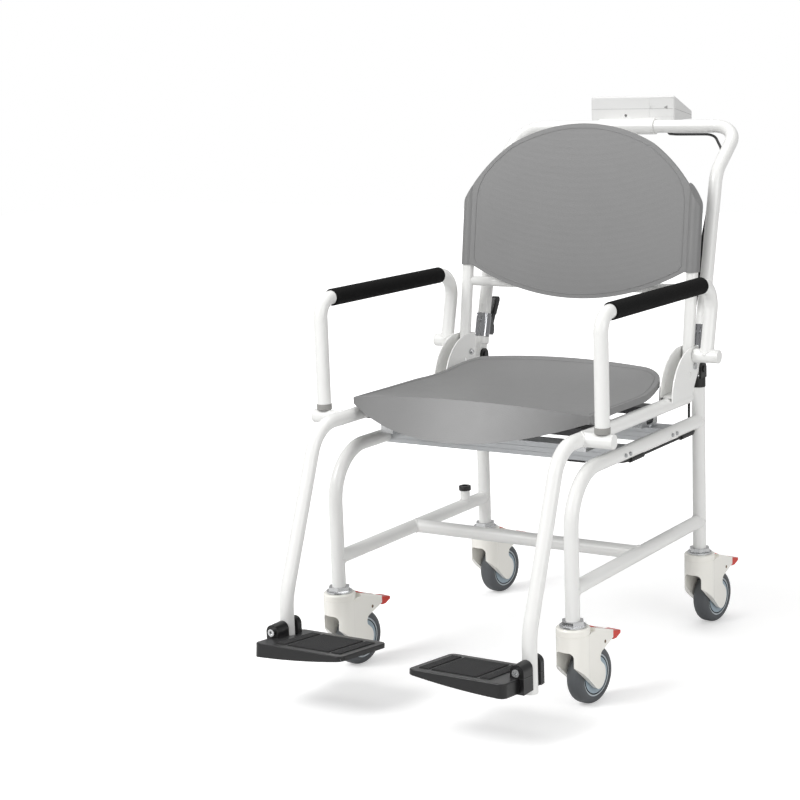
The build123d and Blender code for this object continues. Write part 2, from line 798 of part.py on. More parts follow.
for side, word in sides:
    wing_x = side * arm_x
    with BuildPart() as arm:
        rod((side * arm_sleeve_in_x, arm_pivot_y, arm_pivot_z), (side * arm_sleeve_out_x, arm_pivot_y, arm_pivot_z),
            arm_sleeve_d)
        arm_points = (
            (wing_x, arm_pivot_y, arm_pivot_z),
            (wing_x, arm_lean_y, arm_top_z),
            (wing_x, arm_front_y, arm_top_z),
            (wing_x, arm_front_y, arm_low_z),
        )
        bent_tube(arm_points, [arm_rear_bend_r, arm_front_bend_r], tube_d)
        rod((side * (arm_sleeve_in_x - overrun), arm_pivot_y, arm_pivot_z),
            (side * (arm_sleeve_out_x + overrun), arm_pivot_y, arm_pivot_z), arm_sleeve_bore_d, mode=Mode.SUBTRACT)
    save(arm, f"arm_{word}")

    with BuildPart() as arm_pad:
        rod((wing_x, pad_front_y, arm_top_z), (wing_x, pad_rear_y, arm_top_z), pad_d)
        fillet(arm_pad.edges().filter_by(GeomType.CIRCLE), pad_edge_r)
        rod((wing_x, pad_front_y - overrun, arm_top_z), (wing_x, pad_rear_y + overrun, arm_top_z),
            tube_d, mode=Mode.SUBTRACT)
    save(arm_pad, f"arm_pad_{word}")

    with BuildPart() as arm_foot:
        foot_low_z = seat_rail_z + tube_r + body_gap
        rod((wing_x, arm_front_y, foot_low_z), (wing_x, arm_front_y, arm_low_z + foot_grip - foot_height), foot_d)
        fillet(arm_foot.edges().filter_by(GeomType.CIRCLE).group_by(Axis.Z)[-1], foot_wall / 2)
        rod((wing_x, arm_front_y, arm_low_z), (wing_x, arm_front_y, arm_low_z + foot_grip), tube_d, mode=Mode.SUBTRACT)
    save(arm_foot, f"arm_foot_{word}")

# Footplates: tapered trays on two lugs that grip the hanger's lower end


def frame_plane(origin, plane):
    """Plane set at a local point of another plane, with the same directions."""
    return Plane(origin=plane.from_local_coords(Vector(*origin)), x_dir=tuple(plane.x_dir), z_dir=tuple(plane.z_dir))


deck_plane = Plane(origin=(0, footrest_y, plate_top_z), x_dir=(1, 0, 0),
                   z_dir=(0, math.sin(foot_tilt), math.cos(foot_tilt)))
plate_length = plate_front_reach + plate_rear_reach
plate_width = plate_outer_x - plate_inner_x
plate_mid_y = (plate_rear_reach - plate_front_reach) / 2
notch_r = tube_r + plate_notch_gap
lug_front_y = footrest_y - tube_r - lug_gap
lug_rear_y = footrest_y + tube_r + lug_gap
lug_foot = plate_pivot_z - plate_top_z + plate_skirt_outer - plate_edge_r

for side, word in sides:
    seat_x = side * seat_half_width
    inner_x = side * plate_inner_x
    outer_x = side * plate_outer_x
    with BuildPart() as footplate:
        wide_inner_x = inner_x - side * overrun
        wide_outer_x = outer_x + side * overrun
        tray_plane = Plane(origin=deck_plane.from_local_coords(Vector(0, -plate_front_reach - overrun, 0)),
                           x_dir=(1, 0, 0), z_dir=tuple(-deck_plane.y_dir))
        with BuildSketch(tray_plane):
            with BuildLine():
                Polyline((wide_inner_x, -plate_skirt_inner), (wide_inner_x, 0), (wide_outer_x, 0),
                         (wide_outer_x, -plate_skirt_outer))
                ThreePointArc((wide_inner_x, -plate_skirt_inner),
                              ((inner_x + outer_x) / 2,
                               -(plate_skirt_inner + plate_skirt_outer) / 2 - plate_skirt_bow),
                              (wide_outer_x, -plate_skirt_outer))
            make_face()
        extrude(amount=-plate_length - 2 * overrun)
        with BuildSketch(deck_plane) as tray_plan:
            with Locations(((inner_x + outer_x) / 2, plate_mid_y)):
                RectangleRounded(plate_width, plate_length, plate_corner_r)
        extrude(amount=2 * plate_skirt_outer, both=True, mode=Mode.INTERSECT)
        fillet(footplate.faces().sort_by(SortBy.AREA)[-2:].sort_by(Axis.Z)[-1].edges(), plate_edge_r)
        pocket_span = plate_width - 2 * (notch_r + plate_wall)
        pocket_length = (plate_length - (plate_pocket_rows + 1) * plate_wall) / plate_pocket_rows
        pocket_width = (pocket_span - (plate_pocket_columns + 1) * plate_wall) / plate_pocket_columns
        with BuildSketch(frame_plane((0, 0, -plate_deck), deck_plane)):
            with Locations((inner_x + side * pocket_span / 2, plate_mid_y)):
                with GridLocations(pocket_width + plate_wall, pocket_length + plate_wall,
                                   plate_pocket_columns, plate_pocket_rows):
                    Rectangle(pocket_width, pocket_length)
        extrude(amount=-2 * plate_skirt_outer, mode=Mode.SUBTRACT)
        mat_mid_x = seat_x - side * (mat_inner_reach + mat_outer_reach) / 2
        mat_width = mat_inner_reach - mat_outer_reach
        mat_length = plate_length - mat_front_inset - mat_rear_inset
        mat_mid_y = plate_mid_y + (mat_front_inset - mat_rear_inset) / 2
        with BuildSketch(deck_plane):
            with Locations((mat_mid_x, mat_mid_y)):
                Rectangle(mat_width, mat_length)
            for shift in (-1, 1):
                strip_shift = shift * (mat_width / 2 + mat_border + mat_strip_width / 2)
                with Locations((mat_mid_x + strip_shift, mat_mid_y)):
                    Rectangle(mat_strip_width, mat_length)
        extrude(amount=mat_raise)
        rod((seat_x, footrest_y, 0), (seat_x, footrest_y, plate_pivot_z + lug_d), 2 * notch_r, mode=Mode.SUBTRACT)
        for start_y, reach in ((lug_front_y, -lug_front_length), (lug_rear_y, lug_rear_length)):
            with BuildSketch(Plane(origin=(seat_x, start_y, plate_pivot_z), x_dir=(1, 0, 0), z_dir=(0, -1, 0))):
                Circle(lug_d / 2)
                with Locations((0, -lug_foot / 2)):
                    Rectangle(lug_d, lug_foot)
            extrude(amount=-reach)
        rod((seat_x, lug_front_y - 2 * lug_front_length, plate_pivot_z),
            (seat_x, lug_rear_y + 2 * lug_rear_length, plate_pivot_z), lug_bolt_d + 2 * running_gap,
            mode=Mode.SUBTRACT)
    save(footplate, f"footplate_{word}")

bolt_front_y = lug_front_y - lug_front_length - body_gap
bolt_rear_y = lug_rear_y + lug_rear_length
with BuildPart() as footplate_bolts:
    for side, word in sides:
        seat_x = side * seat_half_width
        rod((seat_x, bolt_front_y, plate_pivot_z), (seat_x, bolt_rear_y, plate_pivot_z), lug_bolt_d)
        rod((seat_x, bolt_front_y, plate_pivot_z), (seat_x, bolt_front_y - lug_bolt_head_h, plate_pivot_z),
            lug_bolt_head_d)
        rod((seat_x, bolt_front_y - lug_bolt_head_h, plate_pivot_z),
            (seat_x, bolt_front_y - lug_bolt_head_h + lug_socket_depth, plate_pivot_z), lug_socket_d,
            mode=Mode.SUBTRACT)
save(footplate_bolts, "footplate_bolts")

# Handle hinges: a cup on each rear post with a clevis and its pin

column_tilt = math.atan(handle_lean)
column_axis = (0, math.sin(column_tilt), math.cos(column_tilt))


def column_plane(side, rise):
    """Plane square to a handle column, at a distance along it from the hinge."""
    return Plane(origin=(side * half_track, half_base + rise * column_axis[1], hinge_z + rise * column_axis[2]),
                 x_dir=(1, 0, 0), z_dir=column_axis)


hinge_floor_z = rear_post_top_z + hinge_base_floor
cheek_x = hinge_cheek_gap / 2
with BuildPart() as hinge_bases:
    for side, word in sides:
        post_x = side * half_track
        rod((post_x, half_base, rear_post_top_z - hinge_base_grip), (post_x, half_base, hinge_floor_z), hinge_base_d)
        rod((post_x, half_base, rear_post_top_z - hinge_base_grip), (post_x, half_base, rear_post_top_z), tube_d,
            mode=Mode.SUBTRACT)
        for cheek in (-1, 1):
            with BuildSketch(Plane(origin=(post_x + cheek * (cheek_x + hinge_cheek / 2), half_base, hinge_z),
                                   x_dir=(0, 1, 0), z_dir=(1, 0, 0))):
                Circle(hinge_ear_r)
                with Locations((0, (hinge_floor_z - hinge_z) / 2)):
                    Rectangle(2 * hinge_ear_r, hinge_z - hinge_floor_z)
            extrude(amount=hinge_cheek / 2, both=True)
        pin_half = cheek_x + hinge_cheek
        rod((post_x - pin_half, half_base, hinge_z), (post_x + pin_half, half_base, hinge_z), hinge_pin_d)
        for end in (-1, 1):
            rod((post_x + end * pin_half, half_base, hinge_z),
                (post_x + end * (pin_half + hinge_pin_head), half_base, hinge_z), hinge_pin_head_d)
save(hinge_bases, "hinge_bases")

# Handle: one tube bent into two columns and a top bar, with a hinge tongue and a collar on each column

column_top_y = half_base + handle_lean * (column_top_z - hinge_z)
with BuildPart() as handle_loop:
    loop_points = (
        tuple(column_plane(1, column_bottom_h).origin),
        (half_track, column_top_y, column_top_z),
        (half_track, bar_y, bar_z),
        (-half_track, bar_y, bar_z),
        (-half_track, column_top_y, column_top_z),
        tuple(column_plane(-1, column_bottom_h).origin),
    )
    bent_tube(loop_points, [column_bend_r, corner_bend_r, corner_bend_r, column_bend_r], tube_d)
    for side, word in sides:
        with BuildSketch(column_plane(side, column_bottom_h)):
            Circle(collar_d / 2)
        extrude(amount=collar_height)
        tongue_plane = Plane(origin=(side * half_track, half_base, hinge_z), x_dir=column_axis, z_dir=(1, 0, 0))
        with BuildSketch(tongue_plane):
            Circle(hinge_ear_r)
            with Locations((column_bottom_h / 2, 0)):
                Rectangle(column_bottom_h, 2 * hinge_ear_r)
        extrude(amount=cheek_x - body_gap, both=True)
        rod((side * half_track - tube_d, half_base, hinge_z), (side * half_track + tube_d, half_base, hinge_z),
            hinge_pin_d + 2 * running_gap, mode=Mode.SUBTRACT)
        button = column_plane(side, latch_button_h)
        button_tip = button.from_local_coords(Vector(0, -tube_r - latch_knob_h / 2, 0))
        rod(tuple(button.origin), tuple(button_tip), latch_button_d)
save(handle_loop, "handle_loop")

# Latch: a chrome sleeve on each column, a housing behind it and the lever in its slot

with BuildPart() as latch_sleeves:
    for side, word in sides:
        ring(column_plane(side, latch_sleeve_low_h), latch_sleeve_d, tube_d, latch_sleeve_length)
        knob_plane = column_plane(side, latch_sleeve_low_h + latch_knob_rise)
        knob_start = knob_plane.from_local_coords(Vector(0, -latch_sleeve_d / 2 + latch_groove_depth / 2, 0))
        knob_end = knob_plane.from_local_coords(Vector(0, -latch_sleeve_d / 2 - latch_knob_h, 0))
        rod(tuple(knob_start), tuple(knob_end), latch_knob_d)
        for rise in (latch_groove_h, latch_sleeve_length - 2 * latch_groove_h):
            ring(column_plane(side, latch_sleeve_low_h + rise), latch_sleeve_d + 2 * latch_groove_depth,
                 latch_sleeve_d - 2 * latch_groove_depth, latch_groove_h, mode=Mode.SUBTRACT)
save(latch_sleeves, "latch_sleeves")


def latch_plane(side):
    """Plane through a column: x along the column from the hinge, y forward, facing +X."""
    return Plane(origin=(side * half_track, half_base, hinge_z), x_dir=column_axis, z_dir=(1, 0, 0))


slot_low_h = lever_pivot_h - lever_root_r - latch_gap
slot_front = lever_pivot_reach - lever_root_r - latch_gap
slot_length = latch_box_high_h - slot_low_h + latch_gap
with BuildPart() as latch_housings:
    for side, word in sides:
        with BuildSketch(latch_plane(side)) as box_profile:
            Polygon((latch_box_low_h, 0), (latch_box_high_h, 0), (latch_box_high_h, -latch_box_neck),
                    (lever_pivot_h + lever_root_r, -lever_pivot_reach - lever_root_r),
                    (lever_pivot_h - 2 * lever_root_r, -latch_box_reach),
                    (latch_box_low_h, -latch_box_reach + lever_root_r), align=None)
            fillet(box_profile.vertices().group_by(Axis.Y)[0], lever_root_r / 2)
        extrude(amount=latch_box_width / 2, both=True)
        with BuildSketch(column_plane(side, 0)):
            Circle(latch_sleeve_d / 2)
        extrude(amount=2 * latch_box_high_h, mode=Mode.SUBTRACT)
        with BuildSketch(latch_plane(side)):
            with Locations((slot_low_h + slot_length / 2, -slot_front - latch_box_reach / 2)):
                Rectangle(slot_length, latch_box_reach)
        extrude(amount=lever_slot / 2, both=True, mode=Mode.SUBTRACT)
        pin_at = latch_plane(side).from_local_coords(Vector(lever_pivot_h, -lever_pivot_reach, 0))
        pin_half = latch_box_width / 2
        rod((pin_at.X - pin_half, pin_at.Y, pin_at.Z), (pin_at.X + pin_half, pin_at.Y, pin_at.Z), lever_pin_d)
save(latch_housings, "latch_housings")

for side, word in sides:
    with BuildPart() as latch_lever:
        lever_at = latch_plane(side).from_local_coords(Vector(lever_pivot_h, -lever_pivot_reach, 0))
        lever_way = (0, math.sin(column_tilt + lever_tilt), math.cos(column_tilt + lever_tilt))
        lever_plane = Plane(origin=tuple(lever_at), x_dir=lever_way, z_dir=(1, 0, 0))
        with BuildSketch(lever_plane):
            Circle(lever_root_r)
            Polygon((0, -lever_root_r), (lever_length, -lever_grip_r), (lever_length, lever_grip_r),
                    (0, lever_root_r), align=None)
            with Locations((lever_length, 0)):
                Circle(lever_grip_r)
        extrude(amount=lever_width / 2, both=True)
        with BuildSketch(lever_plane):
            with Locations((lever_length, 0)):
                Circle(lever_grip_r)
            Polygon((lever_length / 2, -lever_root_r), (lever_length, -lever_grip_r), (lever_length, lever_grip_r),
                    (lever_length / 2, lever_root_r), align=None)
        extrude(amount=lever_grip_width / 2, both=True)
        rod((lever_at.X - tube_r, lever_at.Y, lever_at.Z), (lever_at.X + tube_r, lever_at.Y, lever_at.Z),
            lever_pin_d + 2 * running_gap, mode=Mode.SUBTRACT)
    save(latch_lever, f"latch_lever_{word}")

# Indicator bracket: a sleeve on the top bar with a ribbed shelf under the case

with BuildPart() as indicator_bracket:
    with BuildSketch(Plane(origin=(-bracket_half_x, 0, 0), x_dir=(0, 1, 0), z_dir=(1, 0, 0))):
        with Locations((bar_y, bar_z)):
            Circle(tube_r + bracket_wall)
        with Locations(((bar_y + bracket_rear_y) / 2, case_low_z - bracket_wall / 2)):
            Rectangle(bracket_rear_y - bar_y, bracket_wall)
    extrude(amount=2 * bracket_half_x)
    for rib_x in (-bracket_half_x + bracket_rib, bracket_half_x - bracket_rib):
        with BuildSketch(Plane(origin=(rib_x, 0, 0), x_dir=(0, 1, 0), z_dir=(1, 0, 0))):
            Polygon((bar_y, bar_z - tube_r), (bracket_rear_y - tube_d, case_low_z - bracket_wall),
                    (bar_y, case_low_z - bracket_wall), align=None)
        extrude(amount=bracket_rib / 2, both=True)
    rod((-2 * bracket_half_x, bar_y, bar_z), (2 * bracket_half_x, bar_y, bar_z), tube_d, mode=Mode.SUBTRACT)
save(indicator_bracket, "indicator_bracket")

# Indicator case: a wedge split along a sloping seam into two hollow shells

case_slope = math.atan2(case_high_z - case_tail_z, case_rear_y - case_front_y)
seam_slope = math.atan2(case_seam_front_z - case_seam_rear_z, case_rear_y - case_front_y)
face_plane = Plane(origin=(0, case_front_y, case_high_z), x_dir=(1, 0, 0),
                   z_dir=(0, math.sin(case_slope), math.cos(case_slope)))
seam_plane = Plane(origin=(0, case_front_y, case_seam_front_z), x_dir=(1, 0, 0),
                   z_dir=(0, math.sin(seam_slope), math.cos(seam_slope)))
case_outline = ((case_front_y, case_low_z), (case_front_y, case_high_z), (case_rear_y, case_tail_z),
                (case_rear_y, case_low_z))
key_columns = [key_pitch * (index - (key_count - 1) / 2) for index in range(key_count)]
bay_width = case_half_x - bay_inset - door_left_x - bay_inset
bay_mid_x = door_left_x + bay_inset + bay_width / 2
bay_height = door_high_z - door_low_z - 2 * bay_inset
door_mid_z = (door_low_z + door_high_z) / 2
door_length = case_half_x - door_left_x
window_width = 2 * window_half_x
socket_z = case_low_z + adapter_rise
socket_end_y = case_front_y + adapter_depth

with BuildPart() as case_body:
    with BuildSketch(Plane.YZ):
        Polygon(*case_outline, align=None)
    extrude(amount=case_half_x, both=True)
    fillet(case_body.edges().filter_by(Axis.Z), case_corner_r)
    fillet(case_body.faces().sort_by(Axis.Z)[-1].edges(), case_edge_r)

with BuildPart() as case_cavity:
    with BuildSketch(Plane.YZ):
        Polygon(*case_outline, align=None)
        offset(amount=-case_wall)
    extrude(amount=case_half_x - case_wall, both=True)
    fillet(case_cavity.edges().filter_by(Axis.Z), case_corner_r - case_wall)
    with Locations((bay_mid_x, case_front_y + (bay_depth + bay_wall) / 2, door_mid_z)):
        Box(bay_width + 2 * bay_wall, bay_depth + bay_wall, bay_height + 2 * bay_wall, mode=Mode.SUBTRACT)

with BuildPart() as case_cuts:
    with Locations((door_left_x + door_length / 2, case_front_y + door_thick / 2, door_mid_z)):
        Box(door_length, door_thick, door_high_z - door_low_z)
    with Locations((bay_mid_x, case_front_y + bay_depth / 2, door_mid_z)):
        Box(bay_width, bay_depth, bay_height)
    with BuildSketch(face_plane):
        with Locations((0, window_from_top)):
            RectangleRounded(window_width, window_depth, key_corner_r)
    extrude(amount=-window_sink - window_thick)
    with BuildSketch(face_plane):
        with Locations((0, window_from_top)):
            Rectangle(window_width - 2 * window_lip, window_depth - 2 * window_lip)
        for key_x in key_columns:
            with Locations((key_x, key_from_top)):
                RectangleRounded(key_width + 2 * key_gap, key_depth + 2 * key_gap, key_corner_r)
    extrude(amount=-2 * case_wall)
    rod((adapter_x, case_front_y, socket_z), (adapter_x, socket_end_y, socket_z), adapter_bore_d)

for half, keep in (("top", Keep.TOP), ("bottom", Keep.BOTTOM)):
    with BuildPart() as case_shell:
        add(case_body.part)
        add(case_cavity.part, mode=Mode.SUBTRACT)
        if half == "bottom":
            rod((adapter_x, case_front_y + case_wall, socket_z),
                (adapter_x, socket_end_y + adapter_boss / 2, socket_z), adapter_bore_d + 2 * adapter_boss)
            rod((gland_x, gland_y, case_low_z), (gland_x, gland_y, case_low_z - gland_length), gland_d)
            rod((gland_x, gland_y, case_low_z), (gland_x, gland_y, case_low_z - gland_length),
                cable_d + 2 * cable_gap, mode=Mode.SUBTRACT)
        add(case_cuts.part, mode=Mode.SUBTRACT)
        split(bisect_by=seam_plane, keep=keep)
    save(case_shell, f"indicator_case_{half}")

# Display window, keys and battery door

with BuildPart() as display_window:
    with BuildSketch(frame_plane((0, 0, -window_sink - window_thick), face_plane)):
        with Locations((0, window_from_top)):
            RectangleRounded(window_width - body_gap, window_depth - body_gap, key_corner_r)
    extrude(amount=window_thick)
save(display_window, "display_window")

for index, key_x in enumerate(key_columns):
    with BuildPart() as key:
        with BuildSketch(frame_plane((0, 0, -case_wall - body_gap / 2 - key_flange_thick), face_plane)):
            with Locations((key_x, key_from_top)):
                RectangleRounded(key_width + 2 * key_flange, key_depth + 2 * key_flange, key_corner_r)
        extrude(amount=key_flange_thick)
        with BuildSketch(frame_plane((0, 0, -case_wall - key_flange_thick), face_plane)):
            with Locations((key_x, key_from_top)):
                RectangleRounded(key_width, key_depth, key_corner_r)
        extrude(amount=case_wall + key_flange_thick + key_rise)
        fillet(key.faces().sort_by(Axis.Z)[-1].edges(), key_rise / 2)
    save(key, f"key_{index + 1}")

door_plate = door_thick - door_gap / 2
with BuildPart() as battery_door:
    with Locations((door_left_x + (door_length + door_gap) / 2, case_front_y + door_plate / 2, door_mid_z)):
        Box(door_length - door_gap, door_plate, door_high_z - door_low_z - 2 * door_gap)
    rod((door_left_x + door_grip_inset, case_front_y, door_mid_z),
        (door_left_x + door_grip_inset, case_front_y + door_plate / 2, door_mid_z), door_grip_d, mode=Mode.SUBTRACT)
    add(case_body.part, mode=Mode.INTERSECT)
save(battery_door, "battery_door")

# Casters: fixed stem, swivelling fork shell, wheel and brake pedal

trail_turn = math.radians(trail_turn_deg)
caster_side = (math.cos(trail_turn), math.sin(trail_turn), 0)
caster_trail = (-math.sin(trail_turn), math.cos(trail_turn), 0)
caster_spots = (("front", -half_base), ("rear", half_base))
leg_end_z = caster_height + frame_lift
flange_low_z = leg_end_z - stem_nut_h - stem_flange_h
cap_top_z = flange_low_z - body_gap
seam_z = cap_top_z - cap_height
arch_half = wheel_width / 2 + fork_wheel_gap
wheel_z = wheel_d / 2
slot_half = pedal_bar_width / 2 + pedal_slot_gap

with BuildPart() as caster_stems:
    for side, word in sides:
        for end, leg_y in caster_spots:
            spot = (side * half_track, leg_y)
            with BuildSketch(Plane(origin=(*spot, flange_low_z + stem_flange_h), x_dir=(1, 0, 0), z_dir=(0, 0, 1))):
                RegularPolygon(stem_nut_d / 2, 6)
            extrude(amount=stem_nut_h)
            rod((*spot, flange_low_z), (*spot, flange_low_z + stem_flange_h), stem_flange_d)
            rod((*spot, flange_low_z - stem_pin_length), (*spot, flange_low_z), stem_pin_d)
save(caster_stems, "caster_stems", 0)


def side_plane(spot, shift):
    """Upright plane through a caster: x along the trail, y up, moved sideways."""
    origin = (spot[0] + shift * caster_side[0], spot[1] + shift * caster_side[1], 0)
    return Plane(origin=origin, x_dir=caster_trail, z_dir=caster_side)


pedal_bar_outline = (
    (pedal_front_t, pedal_front_low_z), (pedal_front_t, pedal_front_z), (pedal_strip_t, pedal_strip_z),
    (pedal_root_t, pedal_root_z), (pedal_root_t, pedal_root_low_z), (shoe_root_t, shoe_root_z),
    (shoe_back_t, shoe_back_z), (shoe_t, shoe_z), (pedal_pivot_t, pedal_pivot_z - pedal_pin_d),
    (pedal_belly_t, pedal_belly_z),
)
pedal_tip_outline = (
    (pedal_root_t, pedal_root_z), (pedal_reach - pedal_pin_d / 2, pedal_tip_end_high_z + pedal_pin_d / 5),
    (pedal_reach, pedal_tip_end_high_z), (pedal_reach, pedal_tip_end_z), (pedal_tip_low_t, pedal_tip_low_z),
    (pedal_root_t, pedal_tip_low_z),
)
notch_x = notch_t + cap_seam
front_angle = (math.atan2(fork_skirt_z - wheel_z, -cheek_half - wheel_offset)
               + math.acos(cheek_tip_r / math.hypot(cheek_half + wheel_offset, fork_skirt_z - wheel_z)))
rear_angle = (math.atan2(notch_low_z - wheel_z, notch_x - wheel_offset)
              - math.acos(cheek_tip_r / math.hypot(notch_x - wheel_offset, notch_low_z - wheel_z)))
low_angle = (front_angle + rear_angle + 2 * math.pi) / 2


def tip_point(angle):
    """Point on the rounded tip of the cheek, round the wheel's axle."""
    return (wheel_offset + cheek_tip_r * math.cos(angle), wheel_z + cheek_tip_r * math.sin(angle))


for side, word in sides:
    for end, leg_y in caster_spots:
        spot = (side * half_track, leg_y)
        mid_plane = side_plane(spot, 0)
        cap_r = cap_d / 2
        with BuildPart() as caster_fork:
            with BuildSketch(mid_plane):
                with BuildLine():
                    Polyline(tip_point(front_angle), (-cheek_half, fork_skirt_z), (-cap_r, fork_skirt_z),
                             (-cap_r, seam_z), (cap_r, seam_z), (cap_r, horn_root_z), (horn_reach, horn_tip_z),
                             (horn_reach, horn_tip_low_z), (notch_high_t, notch_high_z))
                    ThreePointArc((notch_high_t, notch_high_z), (notch_t, (notch_high_z + notch_low_z) / 2),
                                  (notch_x, notch_low_z))
                    Line((notch_x, notch_low_z), tip_point(rear_angle))
                    ThreePointArc(tip_point(rear_angle), tip_point(low_angle), tip_point(front_angle))
                make_face()
            extrude(amount=cap_r, both=True)
            with BuildSketch(Plane(origin=(*spot, 0), x_dir=caster_side, z_dir=(0, 0, 1))):
                Circle(cap_r)
                Polygon((-cap_r, 0), (-cheek_half, wheel_offset), (-horn_half, horn_reach), (horn_half, horn_reach),
                        (cheek_half, wheel_offset), (cap_r, 0), align=None)
            extrude(amount=leg_end_z, mode=Mode.INTERSECT)
            rod((*spot, seam_z), (*spot, cap_top_z), cap_d)
            fillet(caster_fork.faces().sort_by(Axis.Z)[-1].edges(), cap_edge_r)
            ring(Plane(origin=(*spot, seam_z - cap_seam), z_dir=(0, 0, 1)), cap_d + cap_seam, cap_d - cap_seam,
                 cap_seam, mode=Mode.SUBTRACT)
            with BuildSketch(mid_plane):
                with Locations((wheel_offset, wheel_z)):
                    Circle(wheel_z + fork_arch_gap)
            extrude(amount=arch_half, both=True, mode=Mode.SUBTRACT)
            arch_start = mid_plane.from_local_coords(Vector(-2 * cap_r, 0, 0))
            arch_height = fork_arch_z + fork_arch_r
            with BuildSketch(Plane(origin=tuple(arch_start), x_dir=caster_side,
                                   z_dir=tuple(-Vector(*caster_trail)))):
                with Locations((0, fork_arch_z - arch_height / 2)):
                    RectangleRounded(2 * arch_half, arch_height, fork_arch_r)
            extrude(amount=-2 * cap_r - wheel_offset, mode=Mode.SUBTRACT)
            with BuildSketch(mid_plane):
                Polygon((cap_r + pedal_slot_gap, leg_end_z), (cap_r + pedal_slot_gap, wheel_z),
                        (2 * horn_reach, wheel_z), (2 * horn_reach, leg_end_z), align=None)
            extrude(amount=slot_half, both=True, mode=Mode.SUBTRACT)
            rod((*spot, flange_low_z - stem_pin_length - body_gap), (*spot, leg_end_z),
                stem_pin_d + 2 * running_gap, mode=Mode.SUBTRACT)
            pins = (((pedal_pivot_t, pedal_pivot_z), slot_half + pedal_pin_d / 2, pedal_pin_d),
                    ((wheel_offset, wheel_z), arch_half + axle_d / 4, axle_d))
            for pin_at, reach, diameter in pins:
                with BuildSketch(mid_plane):
                    with Locations(pin_at):
                        Circle(diameter / 2)
                extrude(amount=reach, both=True)
        save(caster_fork, f"caster_fork_{end}_{word}", 0)

        wheel_at = mid_plane.from_local_coords(Vector(wheel_offset, wheel_z, 0))
        wheel_axis = Axis(tuple(wheel_at), caster_side)
        wheel_plane = Plane(origin=tuple(wheel_at), x_dir=caster_side, z_dir=tuple(-Vector(*caster_trail)))
        core_r = wheel_core_share * wheel_z
        bore_r = axle_d / 2 + running_gap
        with BuildPart() as caster_wheel:
            with BuildSketch(wheel_plane):
                with Locations((0, (core_r + bore_r) / 2)):
                    Rectangle(wheel_width - core_dish, core_r - bore_r)
                with GridLocations(wheel_width - core_dish, 0, 2, 1):
                    with Locations((0, core_r - core_rim_width - core_groove / 2)):
                        Rectangle(2 * core_dish, core_groove, mode=Mode.SUBTRACT)
            revolve(axis=wheel_axis)
            with BuildSketch(wheel_plane) as tyre_section:
                with Locations((0, (wheel_z + core_r + running_gap) / 2)):
                    Rectangle(wheel_width, wheel_z - core_r - running_gap)
                fillet(tyre_section.vertices().group_by(Axis.Y)[-1], tyre_shoulder_r)
            revolve(axis=wheel_axis)
        save(caster_wheel, f"caster_wheel_{end}_{word}", 0)

        with BuildPart() as caster_pedal:
            with BuildSketch(mid_plane):
                with Locations((pedal_pivot_t, pedal_pivot_z)):
                    Circle(pedal_pin_d)
                Polygon(*pedal_bar_outline, align=None)
            extrude(amount=pedal_bar_width / 2, both=True)
            with BuildSketch(mid_plane):
                Polygon(*pedal_tip_outline, align=None)
            extrude(amount=pedal_tip_width / 2, both=True)
            fillet(caster_pedal.edges().group_by(Axis((0, 0, 0), caster_trail))[-1], tube_lip)
            with BuildSketch(mid_plane):
                with Locations((pedal_pivot_t, pedal_pivot_z)):
                    Circle(pedal_pin_d / 2 + running_gap)
            extrude(amount=pedal_bar_width, both=True, mode=Mode.SUBTRACT)
        save(caster_pedal, f"caster_pedal_{end}_{word}", 0)

# Indicator cable: from the front beam along the rail and up the rear post, then up the handle

cable_post_x = half_track - tube_r - cable_d
cable_end = (half_track - cable_column_offset, half_base, hinge_z - cable_hinge_gap)
lower_turn = (cable_post_x, half_base - cable_post_lead, cable_z + cable_post_rise)
lower_route = (
    (conduit_start_x, beam_front_y, cable_z),
    (half_track, beam_front_y, cable_z),
    (half_track, half_base - cable_post_clear, cable_z),
    lower_turn,
    cable_end,
)
with BuildPart() as cable_lower:
    bent_tube(lower_route, cable_lower_bends, cable_d)
save(cable_lower, "cable_lower")

with BuildPart() as cable_guides:
    conduit_end = (conduit_start_x + conduit_length, beam_front_y, cable_z)
    rod((conduit_start_x, beam_front_y, cable_z), conduit_end, conduit_d)
    for clip_y in (cable_clip_front_y, cable_clip_rear_y):
        rod((half_track, clip_y, cable_z), (half_track, clip_y + cable_clip_length, cable_z), cable_clip_d)
    tie_share = (cable_tie_z - lower_turn[2]) / (cable_end[2] - lower_turn[2])
    tie_at = Vector(*lower_turn) + (Vector(*cable_end) - Vector(*lower_turn)) * tie_share
    tie_way = (Vector(*cable_end) - Vector(*lower_turn)).normalized()
    tie_end = tie_at + tie_way * cable_tie_length
    rod(tuple(tie_at), tuple(tie_end), conduit_d)
    web_length = half_track - tie_at.X
    with Locations((tie_at.X + web_length / 2, tie_at.Y, cable_tie_z + cable_tie_length / 2)):
        Box(web_length, cable_d, cable_tie_length)
    add(load_beams.part, mode=Mode.SUBTRACT)
    add(rear_posts.part, mode=Mode.SUBTRACT)
    for side, word in sides:
        rod((side * half_track, -half_base, side_rail_z), (side * half_track, half_base, side_rail_z),
            tube_d, mode=Mode.SUBTRACT)
    bent_tube(lower_route, cable_lower_bends, cable_d + 2 * cable_gap, mode=Mode.SUBTRACT)
save(cable_guides, "cable_guides")


def column_point(rise, offset, turn):
    """Point beside the left column: at a distance along it, on its inner side, turned to the rear."""
    return tuple(column_plane(1, rise).from_local_coords(
        Vector(-offset * math.cos(turn), offset * math.sin(turn), 0)))


